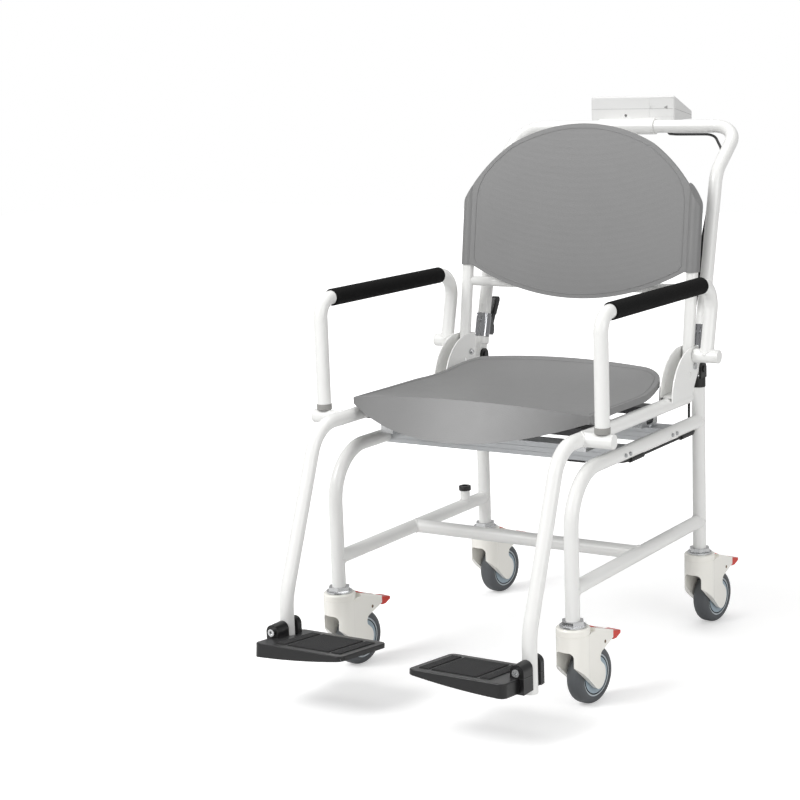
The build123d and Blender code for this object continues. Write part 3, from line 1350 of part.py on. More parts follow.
side_offset = tube_r + cable_d / 2 + 2 * cable_gap
turn_offset = side_offset + cable_turn_gap
upper_way = Vector(0, bar_y - column_top_y, bar_z - column_top_z).normalized()
upper_bend = math.atan2(upper_way.Y, upper_way.Z)
bend_middle = (column_tilt + upper_bend) / 2
bend_reach = turn_offset * math.sin(cable_turn) / math.cos((upper_bend - column_tilt) / 2)
upper_corner = Vector(half_track - turn_offset * math.cos(cable_turn),
                      column_top_y + bend_reach * math.cos(bend_middle),
                      column_top_z - bend_reach * math.sin(bend_middle))
upper_route = (
    column_point(cable_hinge_gap, cable_column_offset, 0),
    column_point(cable_leave_h, cable_column_offset, 0),
    column_point(cable_join_h, side_offset, 0),
    column_point(cable_turn_h, side_offset, 0),
    column_point(cable_rear_h, turn_offset, cable_turn),
    tuple(upper_corner),
    tuple(upper_corner + upper_way * cable_upper_run),
    (half_track - corner_bend_r, bar_y, bar_z - side_offset),
    (gland_x + cable_gland_lead, bar_y, bar_z - side_offset),
    (gland_x, gland_y, bar_z - side_offset),
    (gland_x, gland_y, case_low_z),
)
with BuildPart() as cable_upper:
    bent_tube(upper_route, cable_upper_bends, cable_d)
save(cable_upper, "cable_upper")

for name, route, bends, part in (("lower", lower_route, cable_lower_bends, cable_lower.part),
                                 ("upper", upper_route, cable_upper_bends, cable_upper.part)):
    print("cable", name, "bend radii", bends, "volume over section",
          round(part.volume / (math.pi * (cable_d / 2) ** 2), 1))
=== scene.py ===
"""Looks of a wheeled chair scale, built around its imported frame."""

import logging
import math
from dataclasses import dataclass
from enum import Enum
from typing import Iterable, Sequence

import bpy
from mathutils import Matrix, Vector
from mathutils.bvhtree import BVHTree


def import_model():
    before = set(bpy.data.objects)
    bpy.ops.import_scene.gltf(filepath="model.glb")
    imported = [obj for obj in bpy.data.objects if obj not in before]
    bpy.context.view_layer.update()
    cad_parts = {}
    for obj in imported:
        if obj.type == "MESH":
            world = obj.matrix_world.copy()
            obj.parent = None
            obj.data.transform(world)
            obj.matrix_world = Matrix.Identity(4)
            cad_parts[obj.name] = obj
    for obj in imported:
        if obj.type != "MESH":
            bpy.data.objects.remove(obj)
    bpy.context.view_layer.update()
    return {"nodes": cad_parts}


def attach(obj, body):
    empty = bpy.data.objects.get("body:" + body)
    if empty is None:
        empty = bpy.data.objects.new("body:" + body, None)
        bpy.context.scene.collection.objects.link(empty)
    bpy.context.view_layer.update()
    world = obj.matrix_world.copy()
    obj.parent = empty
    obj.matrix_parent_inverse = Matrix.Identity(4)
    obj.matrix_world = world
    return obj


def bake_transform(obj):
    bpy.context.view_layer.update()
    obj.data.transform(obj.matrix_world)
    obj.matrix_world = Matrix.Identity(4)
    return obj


LOG = logging.getLogger("chair_scale")
MM = 0.001

# Sizes and places of the drawing in millimetres that more than one piece needs
# The frame's origin is at FRAME_Y in the drawing, and its floor is LIFT below the drawing's zero height
FRAME_Y = 28.74354267537379
LIFT = 13.0
TUBE_R = 12.5
WHEEL_R = 50.0
HALF_TRACK = 237.0
HALF_BASE = 256.0
DECK_Y = -408.0
DECK_Z = 97.0
SIDES = ((1, "left"), (-1, "right"))
ENDS = (("front", -HALF_BASE), ("rear", HALF_BASE))

# Angles and shares that more than one piece needs
DECK_TILT = math.radians(6.0)
TRAIL_TURN = math.radians(-8.0)
WELD_RIPPLE = 0.18

Colour = tuple[float, float, float]
Polygon = Sequence[tuple[float, float]]


def at(x: float, y: float, z: float) -> Vector:
    """Point in metres from the drawing's millimetres."""
    return Vector((x * MM, (y - FRAME_Y) * MM, (z + LIFT) * MM))


def linear(red: float, green: float, blue: float) -> Colour:
    """Linear colour from display values.

    Args:
        red: Display red from 0 to 255.
        green: Display green from 0 to 255.
        blue: Display blue from 0 to 255.

    Returns:
        The same colour as linear values.
    """
    return tuple((c / 12.92 if c <= 0.04045 else ((c + 0.055) / 1.055) ** 2.4)
                 for c in (red / 255, green / 255, blue / 255))


class Grain(Enum):
    """Fine relief of a finish: texture scale per metre, bump strength and bump depth in metres."""

    PEEL = (700.0, 0.05, 0.0002)
    DIMPLE = (560.0, 0.55, 0.0004)
    PORES = (1300.0, 0.70, 0.0006)
    SATIN = (1500.0, 0.12, 0.0002)
    DRAWN = (900.0, 0.15, 0.0001)
    POLISHED = (60.0, 0.02, 0.0001)
    GRIT = (1900.0, 0.50, 0.0004)


class Shader:
    """Nodes of one material, made and joined in code."""

    cell_spread = 0.35
    drawn_stretch = (0.05, 1.0, 1.0)
    grain_detail = 3.0

    def __init__(self, name: str) -> None:
        """Start a material that has only its surface and its coordinates.

        Args:
            name: Name of the material.
        """
        self.material = bpy.data.materials.new(name)
        self.material.use_nodes = True
        self.tree = self.material.node_tree
        self.tree.nodes.clear()
        self.output = self.add("ShaderNodeOutputMaterial")
        self.skin = self.add("ShaderNodeBsdfPrincipled")
        self.join(self.skin.outputs[0], self.output.inputs["Surface"])
        self.place = self.add("ShaderNodeTexCoord").outputs["Object"]

    def add(self, kind: str, **settings: object) -> bpy.types.Node:
        """A new node with its settings.

        Args:
            kind: Blender's name of the node type.
            **settings: Attributes to set on it.

        Returns:
            The node.
        """
        node = self.tree.nodes.new(kind)
        for key, value in settings.items():
            setattr(node, key, value)
        return node

    def join(self, source: bpy.types.NodeSocket, target: bpy.types.NodeSocket) -> None:
        """Link an output to an input."""
        self.tree.links.new(source, target)

    def math(self, operation: str, first: object, second: object = 0.0) -> bpy.types.NodeSocket:
        """Result of a sum on sockets or numbers.

        Args:
            operation: Blender's name of the operation.
            first: Socket or number.
            second: Socket or number.

        Returns:
            The value's socket.
        """
        node = self.add("ShaderNodeMath", operation=operation)
        for index, value in enumerate((first, second)):
            if isinstance(value, bpy.types.NodeSocket):
                self.join(value, node.inputs[index])
            else:
                node.inputs[index].default_value = value
        return node.outputs[0]

    def noise(self, scale: float, detail: float = 2.0) -> bpy.types.NodeSocket:
        """Noise over the object, from 0 to 1.

        Args:
            scale: Its scale per metre.
            detail: Its levels of detail.

        Returns:
            The value's socket.
        """
        node = self.add("ShaderNodeTexNoise")
        node.inputs["Scale"].default_value = scale
        node.inputs["Detail"].default_value = detail
        self.join(self.place, node.inputs["Vector"])
        return node.outputs["Fac"]

    def mix(self, share: bpy.types.NodeSocket, first: object, second: object) -> bpy.types.NodeSocket:
        """Colour between two colours or sockets.

        Args:
            share: Share of the second.
            first: Colour or socket at share 0.
            second: Colour or socket at share 1.

        Returns:
            The colour's socket.
        """
        node = self.add("ShaderNodeMix", data_type="RGBA")
        self.join(share, node.inputs["Factor"])
        for name, value in (("A", first), ("B", second)):
            socket = next(s for s in node.inputs if s.name == name and s.type == "RGBA")
            if isinstance(value, bpy.types.NodeSocket):
                self.join(value, socket)
            else:
                socket.default_value = (*value, 1.0)
        return next(s for s in node.outputs if s.type == "RGBA")

    def local(self, origin: Vector, turn: Vector) -> bpy.types.NodeSocket:
        """Object coordinates seen from a turned local frame.

        Args:
            origin: Origin of the local frame in metres.
            turn: Euler angles of the local frame.

        Returns:
            The vector's socket.
        """
        node = self.add("ShaderNodeMapping", vector_type="TEXTURE")
        node.inputs["Location"].default_value = origin
        node.inputs["Rotation"].default_value = turn
        self.join(self.place, node.inputs["Vector"])
        return node.outputs[0]

    def parts(self, vector: bpy.types.NodeSocket) -> tuple[bpy.types.NodeSocket, ...]:
        """The three values of a vector.

        Args:
            vector: The vector's socket.

        Returns:
            The sockets of its x, y and z.
        """
        node = self.add("ShaderNodeSeparateXYZ")
        self.join(vector, node.inputs[0])
        return tuple(node.outputs)

    def relief(self, grain: Grain) -> None:
        """Give the surface the fine relief of a grain.

        Args:
            grain: The grain.
        """
        scale, strength, depth = grain.value
        bump = self.add("ShaderNodeBump")
        bump.inputs["Strength"].default_value = strength
        bump.inputs["Distance"].default_value = depth
        if grain is Grain.DIMPLE:
            cells = self.add("ShaderNodeTexVoronoi")
            cells.inputs["Scale"].default_value = scale
            cells.inputs["Randomness"].default_value = self.cell_spread
            self.join(self.place, cells.inputs["Vector"])
            self.join(cells.outputs["Distance"], bump.inputs["Height"])
        elif grain is Grain.DRAWN:
            stretch = self.add("ShaderNodeMapping")
            stretch.inputs["Scale"].default_value = self.drawn_stretch
            self.join(self.place, stretch.inputs["Vector"])
            lines = self.add("ShaderNodeTexNoise")
            lines.inputs["Scale"].default_value = scale
            self.join(stretch.outputs[0], lines.inputs["Vector"])
            self.join(lines.outputs["Fac"], bump.inputs["Height"])
        else:
            self.join(self.noise(scale, self.grain_detail), bump.inputs["Height"])
        self.join(bump.outputs["Normal"], self.skin.inputs["Normal"])


@dataclass(frozen=True)
class Finish:
    """A finish with one base colour, its mottle, gloss and grain."""

    name: str
    slot: str
    colour: Colour
    roughness: float
    grain: Grain
    metallic: float = 0.0
    coat: float = 0.0
    specular: float = 0.5
    mottle: float = 0.06
    mottle_scale: float = 9.0
    coat_roughness: float = 0.15
    smudge: float = 0.07
    smudge_scale: float = 40.0
    smudge_detail: float = 4.0
    smudge_middle: float = 0.5

    def start(self) -> Shader:
        """Shader with the plain sockets set and the grain joined.

        Returns:
            The shader.
        """
        shader = Shader(self.name)
        skin = shader.skin
        skin.inputs["Metallic"].default_value = self.metallic
        skin.inputs["Coat Weight"].default_value = self.coat
        skin.inputs["Coat Roughness"].default_value = self.coat_roughness
        skin.inputs["Specular IOR Level"].default_value = self.specular
        shader.relief(self.grain)
        return shader

    def tone(self, shader: Shader) -> bpy.types.NodeSocket:
        """Base colour with its slight mottle.

        Args:
            shader: Shader to make the nodes in.

        Returns:
            The colour's socket.
        """
        dark = tuple(c * (1 - self.mottle) for c in self.colour)
        light = tuple(min(1.0, c * (1 + self.mottle)) for c in self.colour)
        return shader.mix(shader.noise(self.mottle_scale), dark, light)

    def gloss(self, shader: Shader) -> bpy.types.NodeSocket:
        """Roughness with a slight smudge.

        Args:
            shader: Shader to make the nodes in.

        Returns:
            The value's socket.
        """
        noise = shader.noise(self.smudge_scale, self.smudge_detail)
        spread = shader.math("MULTIPLY", shader.math("SUBTRACT", noise, self.smudge_middle), self.smudge)
        return shader.math("ADD", spread, self.roughness)

    def material(self) -> bpy.types.Material:
        """Make the finished material.

        Returns:
            The material.
        """
        shader = self.start()
        shader.join(self.tone(shader), shader.skin.inputs["Base Color"])
        shader.join(self.gloss(shader), shader.skin.inputs["Roughness"])
        return shader.material


@dataclass(frozen=True)
class TreadFinish(Finish):
    """Footplate moulding: smooth borders and rough dark treads where the deck is raised."""

    tread: Colour = (0.012, 0.012, 0.012)
    border: Colour = (0.030, 0.030, 0.031)
    deck: tuple[float, float, float] = (0.0, DECK_Y, DECK_Z)
    raised: tuple[float, float] = (0.6, 2.0)
    tread_roughness: float = 0.35

    def material(self) -> bpy.types.Material:
        """Make the finished material.

        Returns:
            The material.
        """
        shader = self.start()
        _, _, height = shader.parts(shader.local(at(*self.deck), Vector((-DECK_TILT, 0.0, 0.0))))
        above = shader.math("GREATER_THAN", height, self.raised[0] * MM)
        below = shader.math("LESS_THAN", height, self.raised[1] * MM)
        mask = shader.math("MULTIPLY", above, below)
        level = shader.math("MULTIPLY", shader.math("GREATER_THAN", height, -self.raised[0] * MM),
                            shader.math("LESS_THAN", height, self.raised[0] * MM))
        plain = shader.mix(level, self.tone(shader), self.border)
        shader.join(shader.mix(mask, plain, self.tread), shader.skin.inputs["Base Color"])
        rough = shader.math("ADD", self.gloss(shader), shader.math("MULTIPLY", mask, self.tread_roughness))
        shader.join(rough, shader.skin.inputs["Roughness"])
        return shader.material


@dataclass(frozen=True)
class WheelFinish(Finish):
    """Tyre round a core, told apart by the distance from the axle, with painted shade in the core's groove.
    """

    slot: str = "wheel_tyre"
    colour: Colour = linear(86, 89, 92)
    roughness: float = 0.48
    grain: Grain = Grain.SATIN
    axle: tuple[float, float, float] = (0.0, 0.0, WHEEL_R)
    core: Colour = (0.36, 0.44, 0.50)
    # Dark colour of the core's groove ring: painted shade of the recess
    groove_shade: Colour = (0.06, 0.07, 0.08)
    rim: Colour = (0.55, 0.60, 0.63)
    radius: float = WHEEL_R
    rings: tuple[float, float, float] = (31.4, 33.6, 36.5)
    shade: Colour = (0.86, 0.86, 0.86)
    shade_scale: float = 36.0

    def material(self) -> bpy.types.Material:
        """Make the finished material.

        Returns:
            The material.
        """
        shader = self.start()
        _, trail, height = shader.parts(shader.local(at(*self.axle), Vector((0.0, 0.0, TRAIL_TURN))))
        squares = shader.math("ADD", shader.math("MULTIPLY", trail, trail),
                              shader.math("MULTIPLY", height, height))
        share = shader.math("MULTIPLY", shader.math("SQRT", squares), 1.0 / (self.radius * MM))
        ramp = shader.add("ShaderNodeValToRGB")
        ramp.color_ramp.interpolation = "CONSTANT"
        ramp.color_ramp.elements[0].color = (*self.core, 1.0)
        # From the first ring to the second the core gets the groove's painted shade
        ramp.color_ramp.elements[1].position = self.rings[0] / self.radius
        ramp.color_ramp.elements[1].color = (*self.groove_shade, 1.0)
        for ring, colour in ((self.rings[1], self.rim), (self.rings[2], self.colour)):
            ramp.color_ramp.elements.new(ring / self.radius).color = (*colour, 1.0)
        shader.join(share, ramp.inputs["Fac"])
        shade = shader.mix(shader.noise(self.shade_scale), self.shade, (1.0, 1.0, 1.0))
        blend = shader.add("ShaderNodeMix", data_type="RGBA", blend_type="MULTIPLY")
        blend.inputs["Factor"].default_value = 1.0
        colours = [s for s in blend.inputs if s.type == "RGBA"]
        shader.join(ramp.outputs["Color"], colours[0])
        shader.join(shade, colours[1])
        shader.join(next(s for s in blend.outputs if s.type == "RGBA"), shader.skin.inputs["Base Color"])
        shader.join(self.gloss(shader), shader.skin.inputs["Roughness"])
        return shader.material


@dataclass(frozen=True)
class PedalFinish(Finish):
    """Red pedal with its black brake shoe."""

    slot: str = "pedal_red"
    colour: Colour = linear(206, 44, 24)
    roughness: float = 0.30
    grain: Grain = Grain.SATIN
    coat: float = 0.3
    spot: tuple[float, float] = (0.0, 0.0)
    shoe: Colour = (0.02, 0.02, 0.02)
    shoe_reach: float = 90.5
    shoe_top: float = 100.5

    def material(self) -> bpy.types.Material:
        """Make the finished material.

        Returns:
            The material.
        """
        shader = self.start()
        origin = at(self.spot[0], self.spot[1], -LIFT)
        _, trail, height = shader.parts(shader.local(origin, Vector((0.0, 0.0, TRAIL_TURN))))
        near = shader.math("LESS_THAN", trail, self.shoe_reach * MM)
        low = shader.math("LESS_THAN", height, self.shoe_top * MM)
        mask = shader.math("MULTIPLY", near, low)
        shader.join(shader.mix(mask, self.tone(shader), self.shoe), shader.skin.inputs["Base Color"])
        shader.join(self.gloss(shader), shader.skin.inputs["Roughness"])
        return shader.material


POWDER_WHITE = Finish("powder_white", "frame_tube", linear(236, 236, 234), 0.30, Grain.PEEL, coat=0.25,
                      mottle=0.004)
CARRIER_GREY = Finish("carrier_grey", "carrier_steel", linear(62, 62, 64), 0.40, Grain.PEEL)
BEAM_ALUMINIUM = Finish("beam_aluminium", "beam_aluminium", linear(190, 192, 194), 0.35, Grain.DRAWN,
                        metallic=0.9)
SEAT_GREY = Finish("seat_grey", "seat_plastic", linear(127, 127, 127), 0.42, Grain.DIMPLE, mottle=0.03)
FOAM_BLACK = Finish("foam_black", "pad_foam", linear(16, 16, 16), 0.85, Grain.PORES, specular=0.15,
                    mottle=0.25, mottle_scale=300.0)
FOOT_RUBBER = Finish("foot_rubber", "foot_rubber", linear(150, 149, 146), 0.60, Grain.GRIT)
TREAD_PLASTIC = TreadFinish("tread_plastic", "footplate_plastic", linear(20, 20, 21), 0.30, Grain.SATIN)
TREAD_RIB = Finish("tread_rib", "footplate_plastic", linear(33, 33, 34), 0.62, Grain.GRIT)
SOCKET_BLACK = Finish("socket_black", "socket_plastic", linear(34, 33, 32), 0.40, Grain.SATIN)
HINGE_BLACK = Finish("hinge_black", "black_metal", linear(26, 26, 26), 0.35, Grain.PEEL)
CHROME = Finish("chrome_plate", "chrome", linear(168, 169, 172), 0.08, Grain.POLISHED, metallic=1.0)
PLATED_STEEL = Finish("plated_steel", "steel", linear(206, 207, 208), 0.26, Grain.DRAWN, metallic=1.0,
                      mottle=0.15, mottle_scale=60.0)
LATCH_GREY = Finish("latch_grey", "latch_grey", linear(78, 78, 80), 0.42, Grain.SATIN)
LEVER_BLACK = Finish("lever_black", "lever_black", linear(24, 24, 25), 0.32, Grain.SATIN)
CASE_GREY = Finish("case_grey", "case_plastic", linear(222, 222, 221), 0.45, Grain.SATIN, mottle=0.02)
KEY_GREY = Finish("key_grey", "key_plastic", linear(141, 142, 146), 0.50, Grain.SATIN)
DISPLAY_GREEN = Finish("display_green", "display", linear(124, 150, 137), 0.16, Grain.POLISHED, coat=0.8,
                       mottle=0.03)
CABLE_BLACK = Finish("cable_black", "cable_jacket", linear(28, 28, 28), 0.45, Grain.SATIN)
CASTER_WHITE = Finish("caster_white", "caster_white", linear(246, 244, 237), 0.22, Grain.SATIN, coat=0.4,
                      mottle=0.015)
CASTER_PIN = Finish("caster_pin", "caster_white", linear(112, 92, 70), 0.45, Grain.DRAWN, metallic=0.6)
INK_DARK = Finish("ink_dark", "display", linear(34, 42, 40), 0.35, Grain.POLISHED, mottle=0.05)
INK_WHITE = Finish("ink_white", "key_plastic", linear(232, 232, 230), 0.5, Grain.SATIN)
SEAM_SHADE = Finish("seam_shade", "case_plastic", linear(150, 150, 149), 0.7, Grain.SATIN)


@dataclass(frozen=True)
class Facet:
    """A flat local frame on a surface: across, up and outwards."""

    origin: Vector
    across: Vector
    upward: Vector

    def matrix(self) -> Matrix:
        """Transform from the facet's millimetres to metres in the row frame."""
        outward = self.across.cross(self.upward)
        turn = Matrix((self.across, self.upward, outward)).transposed().to_4x4()
        return Matrix.Translation(self.origin) @ turn @ Matrix.Scale(MM, 4)


def linked(name: str, data: bpy.types.ID) -> bpy.types.Object:
    """New object in the scene.

    Args:
        name: Name of the object.
        data: Its mesh, curve, camera or light.

    Returns:
        The object.
    """
    item = bpy.data.objects.new(name, data)
    bpy.context.scene.collection.objects.link(item)
    return item


def plain_copy(host: bpy.types.Object, name: str) -> bpy.types.Object:
    """Object with a plain mesh of what another one shows, in its stead.

    Args:
        host: Object whose shape is taken. It is removed.
        name: Name of the new object.

    Returns:
        The new object, with no modifier on it.
    """
    graph = bpy.context.evaluated_depsgraph_get()
    mesh = bpy.data.meshes.new_from_object(host.evaluated_get(graph), depsgraph=graph)
    bpy.data.objects.remove(host)
    mesh.name = name
    return linked(name, mesh)


class GeometryTree:
    """A Geometry Nodes tree with named inputs, built in code."""

    def __init__(self, name: str) -> None:
        """Start a tree that takes and gives geometry.

        Args:
            name: Name of the tree.
        """
        self.group = bpy.data.node_groups.new(name, "GeometryNodeTree")
        self.group.interface.new_socket("Geometry", in_out="INPUT", socket_type="NodeSocketGeometry")
        self.group.interface.new_socket("Geometry", in_out="OUTPUT", socket_type="NodeSocketGeometry")
        self.source: bpy.types.Node | None = None

    def named(self, name: str, kind: str, value: object = None) -> None:
        """Add an input to the tree.

        Args:
            name: Name of the input.
            kind: Blender's socket type.
            value: Its default.
        """
        socket = self.group.interface.new_socket(name, in_out="INPUT", socket_type=kind)
        if value is not None:
            socket.default_value = value

    def add(self, kind: str, **values: object) -> bpy.types.Node:
        """A new node, with numbers or sockets on its inputs.

        Args:
            kind: Blender's name of the node type.
            **values: Inputs by name, with spaces written as underscores.

        Returns:
            The node.
        """
        node = self.group.nodes.new(kind)
        for key, value in values.items():
            name = key.replace("_", " ")
            socket = next(s for s in node.inputs if s.name == name and s.enabled)
            if isinstance(value, bpy.types.NodeSocket):
                self.group.links.new(value, socket)
            else:
                socket.default_value = value
        return node

    def value(self, name: str) -> bpy.types.NodeSocket:
        """Output of the group's input node.

        Args:
            name: Name of the input.

        Returns:
            Its socket.
        """
        if self.source is None:
            self.source = self.group.nodes.new("NodeGroupInput")
        return self.source.outputs[name]

    def calc(self, operation: str, first: object, second: object = 0.0) -> bpy.types.NodeSocket:
        """Result of a sum on sockets or numbers.

        Args:
            operation: Blender's name of the operation.
            first: Socket or number.
            second: Socket or number.

        Returns:
            The value's socket.
        """
        node = self.group.nodes.new("ShaderNodeMath")
        node.operation = operation
        for index, item in enumerate((first, second)):
            if isinstance(item, bpy.types.NodeSocket):
                self.group.links.new(item, node.inputs[index])
            else:
                node.inputs[index].default_value = item
        return node.outputs[0]

    def close(self, geometry: bpy.types.NodeSocket) -> None:
        """Realize, dress and send out the geometry.

        Args:
            geometry: Socket of the shaped geometry.
        """
        whole = self.add("GeometryNodeRealizeInstances", Geometry=geometry)
        dressed = self.add("GeometryNodeSetMaterial", Geometry=whole.outputs[0],
                           Material=self.value("Material"))
        end = self.group.nodes.new("NodeGroupOutput")
        self.group.links.new(dressed.outputs[0], end.inputs[0])

    def run(self, name: str, source: bpy.types.Mesh, values: dict[str, object]) -> bpy.types.Object:
        """Shape a plain mesh from a source mesh.

        Args:
            name: Name of the piece.
            source: Mesh that the tree starts from.
            values: The tree's inputs by name.

        Returns:
            The piece's object, with no modifier on it.
        """
        host = linked(name + "_source", source)
        modifier = host.modifiers.new("shape", "NODES")
        modifier.node_group = self.group
        sockets = {item.name: item.identifier for item in self.group.interface.items_tree
                   if item.item_type == "SOCKET" and item.in_out == "INPUT"}
        for key, item in values.items():
            modifier[sockets[key]] = item
        return plain_copy(host, name)


class BeadTree(GeometryTree):
    """Round bead that follows loops of edges, with a ripple along it."""

    def __init__(self) -> None:
        """Join the nodes from the path to the bead."""
        super().__init__("bead_along_path")
        self.named("Radius", "NodeSocketFloat", 0.001)
        self.named("Ripple", "NodeSocketFloat", 0.0)
        self.named("Ripple Pitch", "NodeSocketFloat", 0.003)
        self.named("Step", "NodeSocketFloat", 0.001)
        self.named("Sides", "NodeSocketInt", 8)
        self.named("Material", "NodeSocketMaterial")
        path = self.add("GeometryNodeMeshToCurve", Mesh=self.value("Geometry"))
        even = self.group.nodes.new("GeometryNodeResampleCurve")
        even.mode = "LENGTH"
        self.group.links.new(path.outputs[0], even.inputs["Curve"])
        self.group.links.new(self.value("Step"), even.inputs["Length"])
        run = self.group.nodes.new("GeometryNodeSplineParameter").outputs["Length"]
        turns = self.calc("MULTIPLY", self.calc("DIVIDE", run, self.value("Ripple Pitch")), math.tau)
        swell = self.calc("ADD", self.calc("MULTIPLY", self.calc("SINE", turns), self.value("Ripple")), 1.0)
        profile = self.add("GeometryNodeCurvePrimitiveCircle", Resolution=self.value("Sides"),
                           Radius=self.value("Radius"))
        tube = self.add("GeometryNodeCurveToMesh", Curve=even.outputs[0],
                        Profile_Curve=profile.outputs["Curve"], Scale=swell, Fill_Caps=True)
        smooth = self.add("GeometryNodeSetShadeSmooth", Geometry=tube.outputs[0])
        self.close(smooth.outputs[0])


class RibTree(GeometryTree):
    """Rows of round-backed ribs on a flat tread."""

    rib_sides = 6

    def __init__(self) -> None:
        """Join the nodes from one rib to all rows."""
        super().__init__("rows_of_ribs")
        self.named("Count", "NodeSocketInt", 20)
        self.named("Pitch", "NodeSocketFloat", 0.003)
        self.named("Rib Length", "NodeSocketFloat", 0.08)
        self.named("Rib Radius", "NodeSocketFloat", 0.0008)
        self.named("Material", "NodeSocketMaterial")
        half = self.calc("MULTIPLY", self.value("Rib Length"), 0.5)
        start = self.add("ShaderNodeCombineXYZ", X=self.calc("MULTIPLY", half, -1.0))
        end = self.add("ShaderNodeCombineXYZ", X=half)
        line = self.add("GeometryNodeCurvePrimitiveLine", Start=start.outputs[0], End=end.outputs[0])
        profile = self.add("GeometryNodeCurvePrimitiveCircle", Resolution=self.rib_sides,
                           Radius=self.value("Rib Radius"))
        rib = self.add("GeometryNodeCurveToMesh", Curve=line.outputs[0],
                       Profile_Curve=profile.outputs["Curve"], Fill_Caps=True)
        last = self.calc("SUBTRACT", self.value("Count"), 1.0)
        back = self.calc("MULTIPLY", self.calc("MULTIPLY", last, self.value("Pitch")), -0.5)
        first = self.add("ShaderNodeCombineXYZ", Y=back)
        step = self.add("ShaderNodeCombineXYZ", Y=self.value("Pitch"))
        row = self.add("GeometryNodeMeshLine", Count=self.value("Count"), Start_Location=first.outputs[0],
                       Offset=step.outputs[0])
        spread = self.add("GeometryNodeInstanceOnPoints", Points=row.outputs[0], Instance=rib.outputs[0])
        self.close(spread.outputs[0])


def edge_mesh(name: str, loops: Iterable[Sequence[Vector]], closed: bool = True) -> bpy.types.Mesh:
    """Mesh of bare edges along paths.

    Args:
        name: Name of the mesh.
        loops: Points of each path.
        closed: Whether each path joins its own start.

    Returns:
        The mesh.
    """
    points: list[Vector] = []
    edges: list[tuple[int, int]] = []
    for loop in loops:
        first = len(points)
        points.extend(loop)
        count = len(loop)
        edges.extend((first + i, first + i + 1) for i in range(count - 1))
        if closed:
            edges.append((first + count - 1, first))
    mesh = bpy.data.meshes.new(name)
    mesh.from_pydata(points, edges, [])
    return mesh


def plain_object(name: str, points: Sequence[Vector], faces: Sequence[Sequence[int]],
                 material: bpy.types.Material, smooth: bool = False) -> bpy.types.Object:
    """Object from points and faces, with its place in the mesh.

    Args:
        name: Name of the piece.
        points: Corners in metres.
        faces: Corner numbers of each face.
        material: Its material.
        smooth: Whether the shading is smooth.

    Returns:
        The object.
    """
    mesh = bpy.data.meshes.new(name)
    mesh.from_pydata(points, [], faces)
    mesh.materials.append(material)
    mesh.polygons.foreach_set("use_smooth", [smooth] * len(mesh.polygons))
    return linked(name, mesh)


def inlay(name: str, shapes: Iterable[Polygon], facet: Facet, low: float, high: float,
          material: bpy.types.Material) -> bpy.types.Object:
    """Thin raised shapes on a facet.

    Args:
        name: Name of the piece.
        shapes: Outlines in millimetres, anticlockwise from outside.
        facet: Facet that they stand on.
        low: Height of their underside in millimetres.
        high: Height of their face in millimetres.
        material: Their material.

    Returns:
        The object.
    """
    place = facet.matrix()
    points: list[Vector] = []
    faces: list[tuple[int, ...]] = []
    for shape in shapes:
        first, count = len(points), len(shape)
        points.extend(place @ Vector((u, v, low)) for u, v in shape)
        points.extend(place @ Vector((u, v, high)) for u, v in shape)
        faces.append(tuple(range(first + count, first + 2 * count)))
        faces.append(tuple(reversed(range(first, first + count))))
        for i in range(count):
            j = (i + 1) % count
            faces.append((first + i, first + j, first + count + j, first + count + i))
    return plain_object(name, points, faces, material)


def lathe(name: str, profile: Sequence[tuple[float, float]], facets: Iterable[Facet],
          material: bpy.types.Material, segments: int) -> bpy.types.Object:
    """Turned shapes standing on facets.

    Args:
        name: Name of the piece.
        profile: Radius and height in millimetres, from the outer foot to the tip.
        facets: One facet for each copy.
        material: Their material.
        segments: Faces round each copy.

    Returns:
        The object.
    """
    points: list[Vector] = []
    faces: list[tuple[int, ...]] = []
    for facet in facets:
        place = facet.matrix()
        first = len(points)
        for radius, height in profile:
            for i in range(segments):
                angle = math.tau * i / segments
                points.append(place @ Vector((radius * math.cos(angle), radius * math.sin(angle), height)))
        for ring in range(len(profile) - 1):
            for i in range(segments):
                j = (i + 1) % segments
                low, high = first + ring * segments, first + (ring + 1) * segments
                faces.append((low + i, low + j, high + j, high + i))
        top = first + (len(profile) - 1) * segments
        faces.append(tuple(range(top, top + segments)))
        faces.append(tuple(reversed(range(first, first + segments))))
    return plain_object(name, points, faces, material, smooth=True)


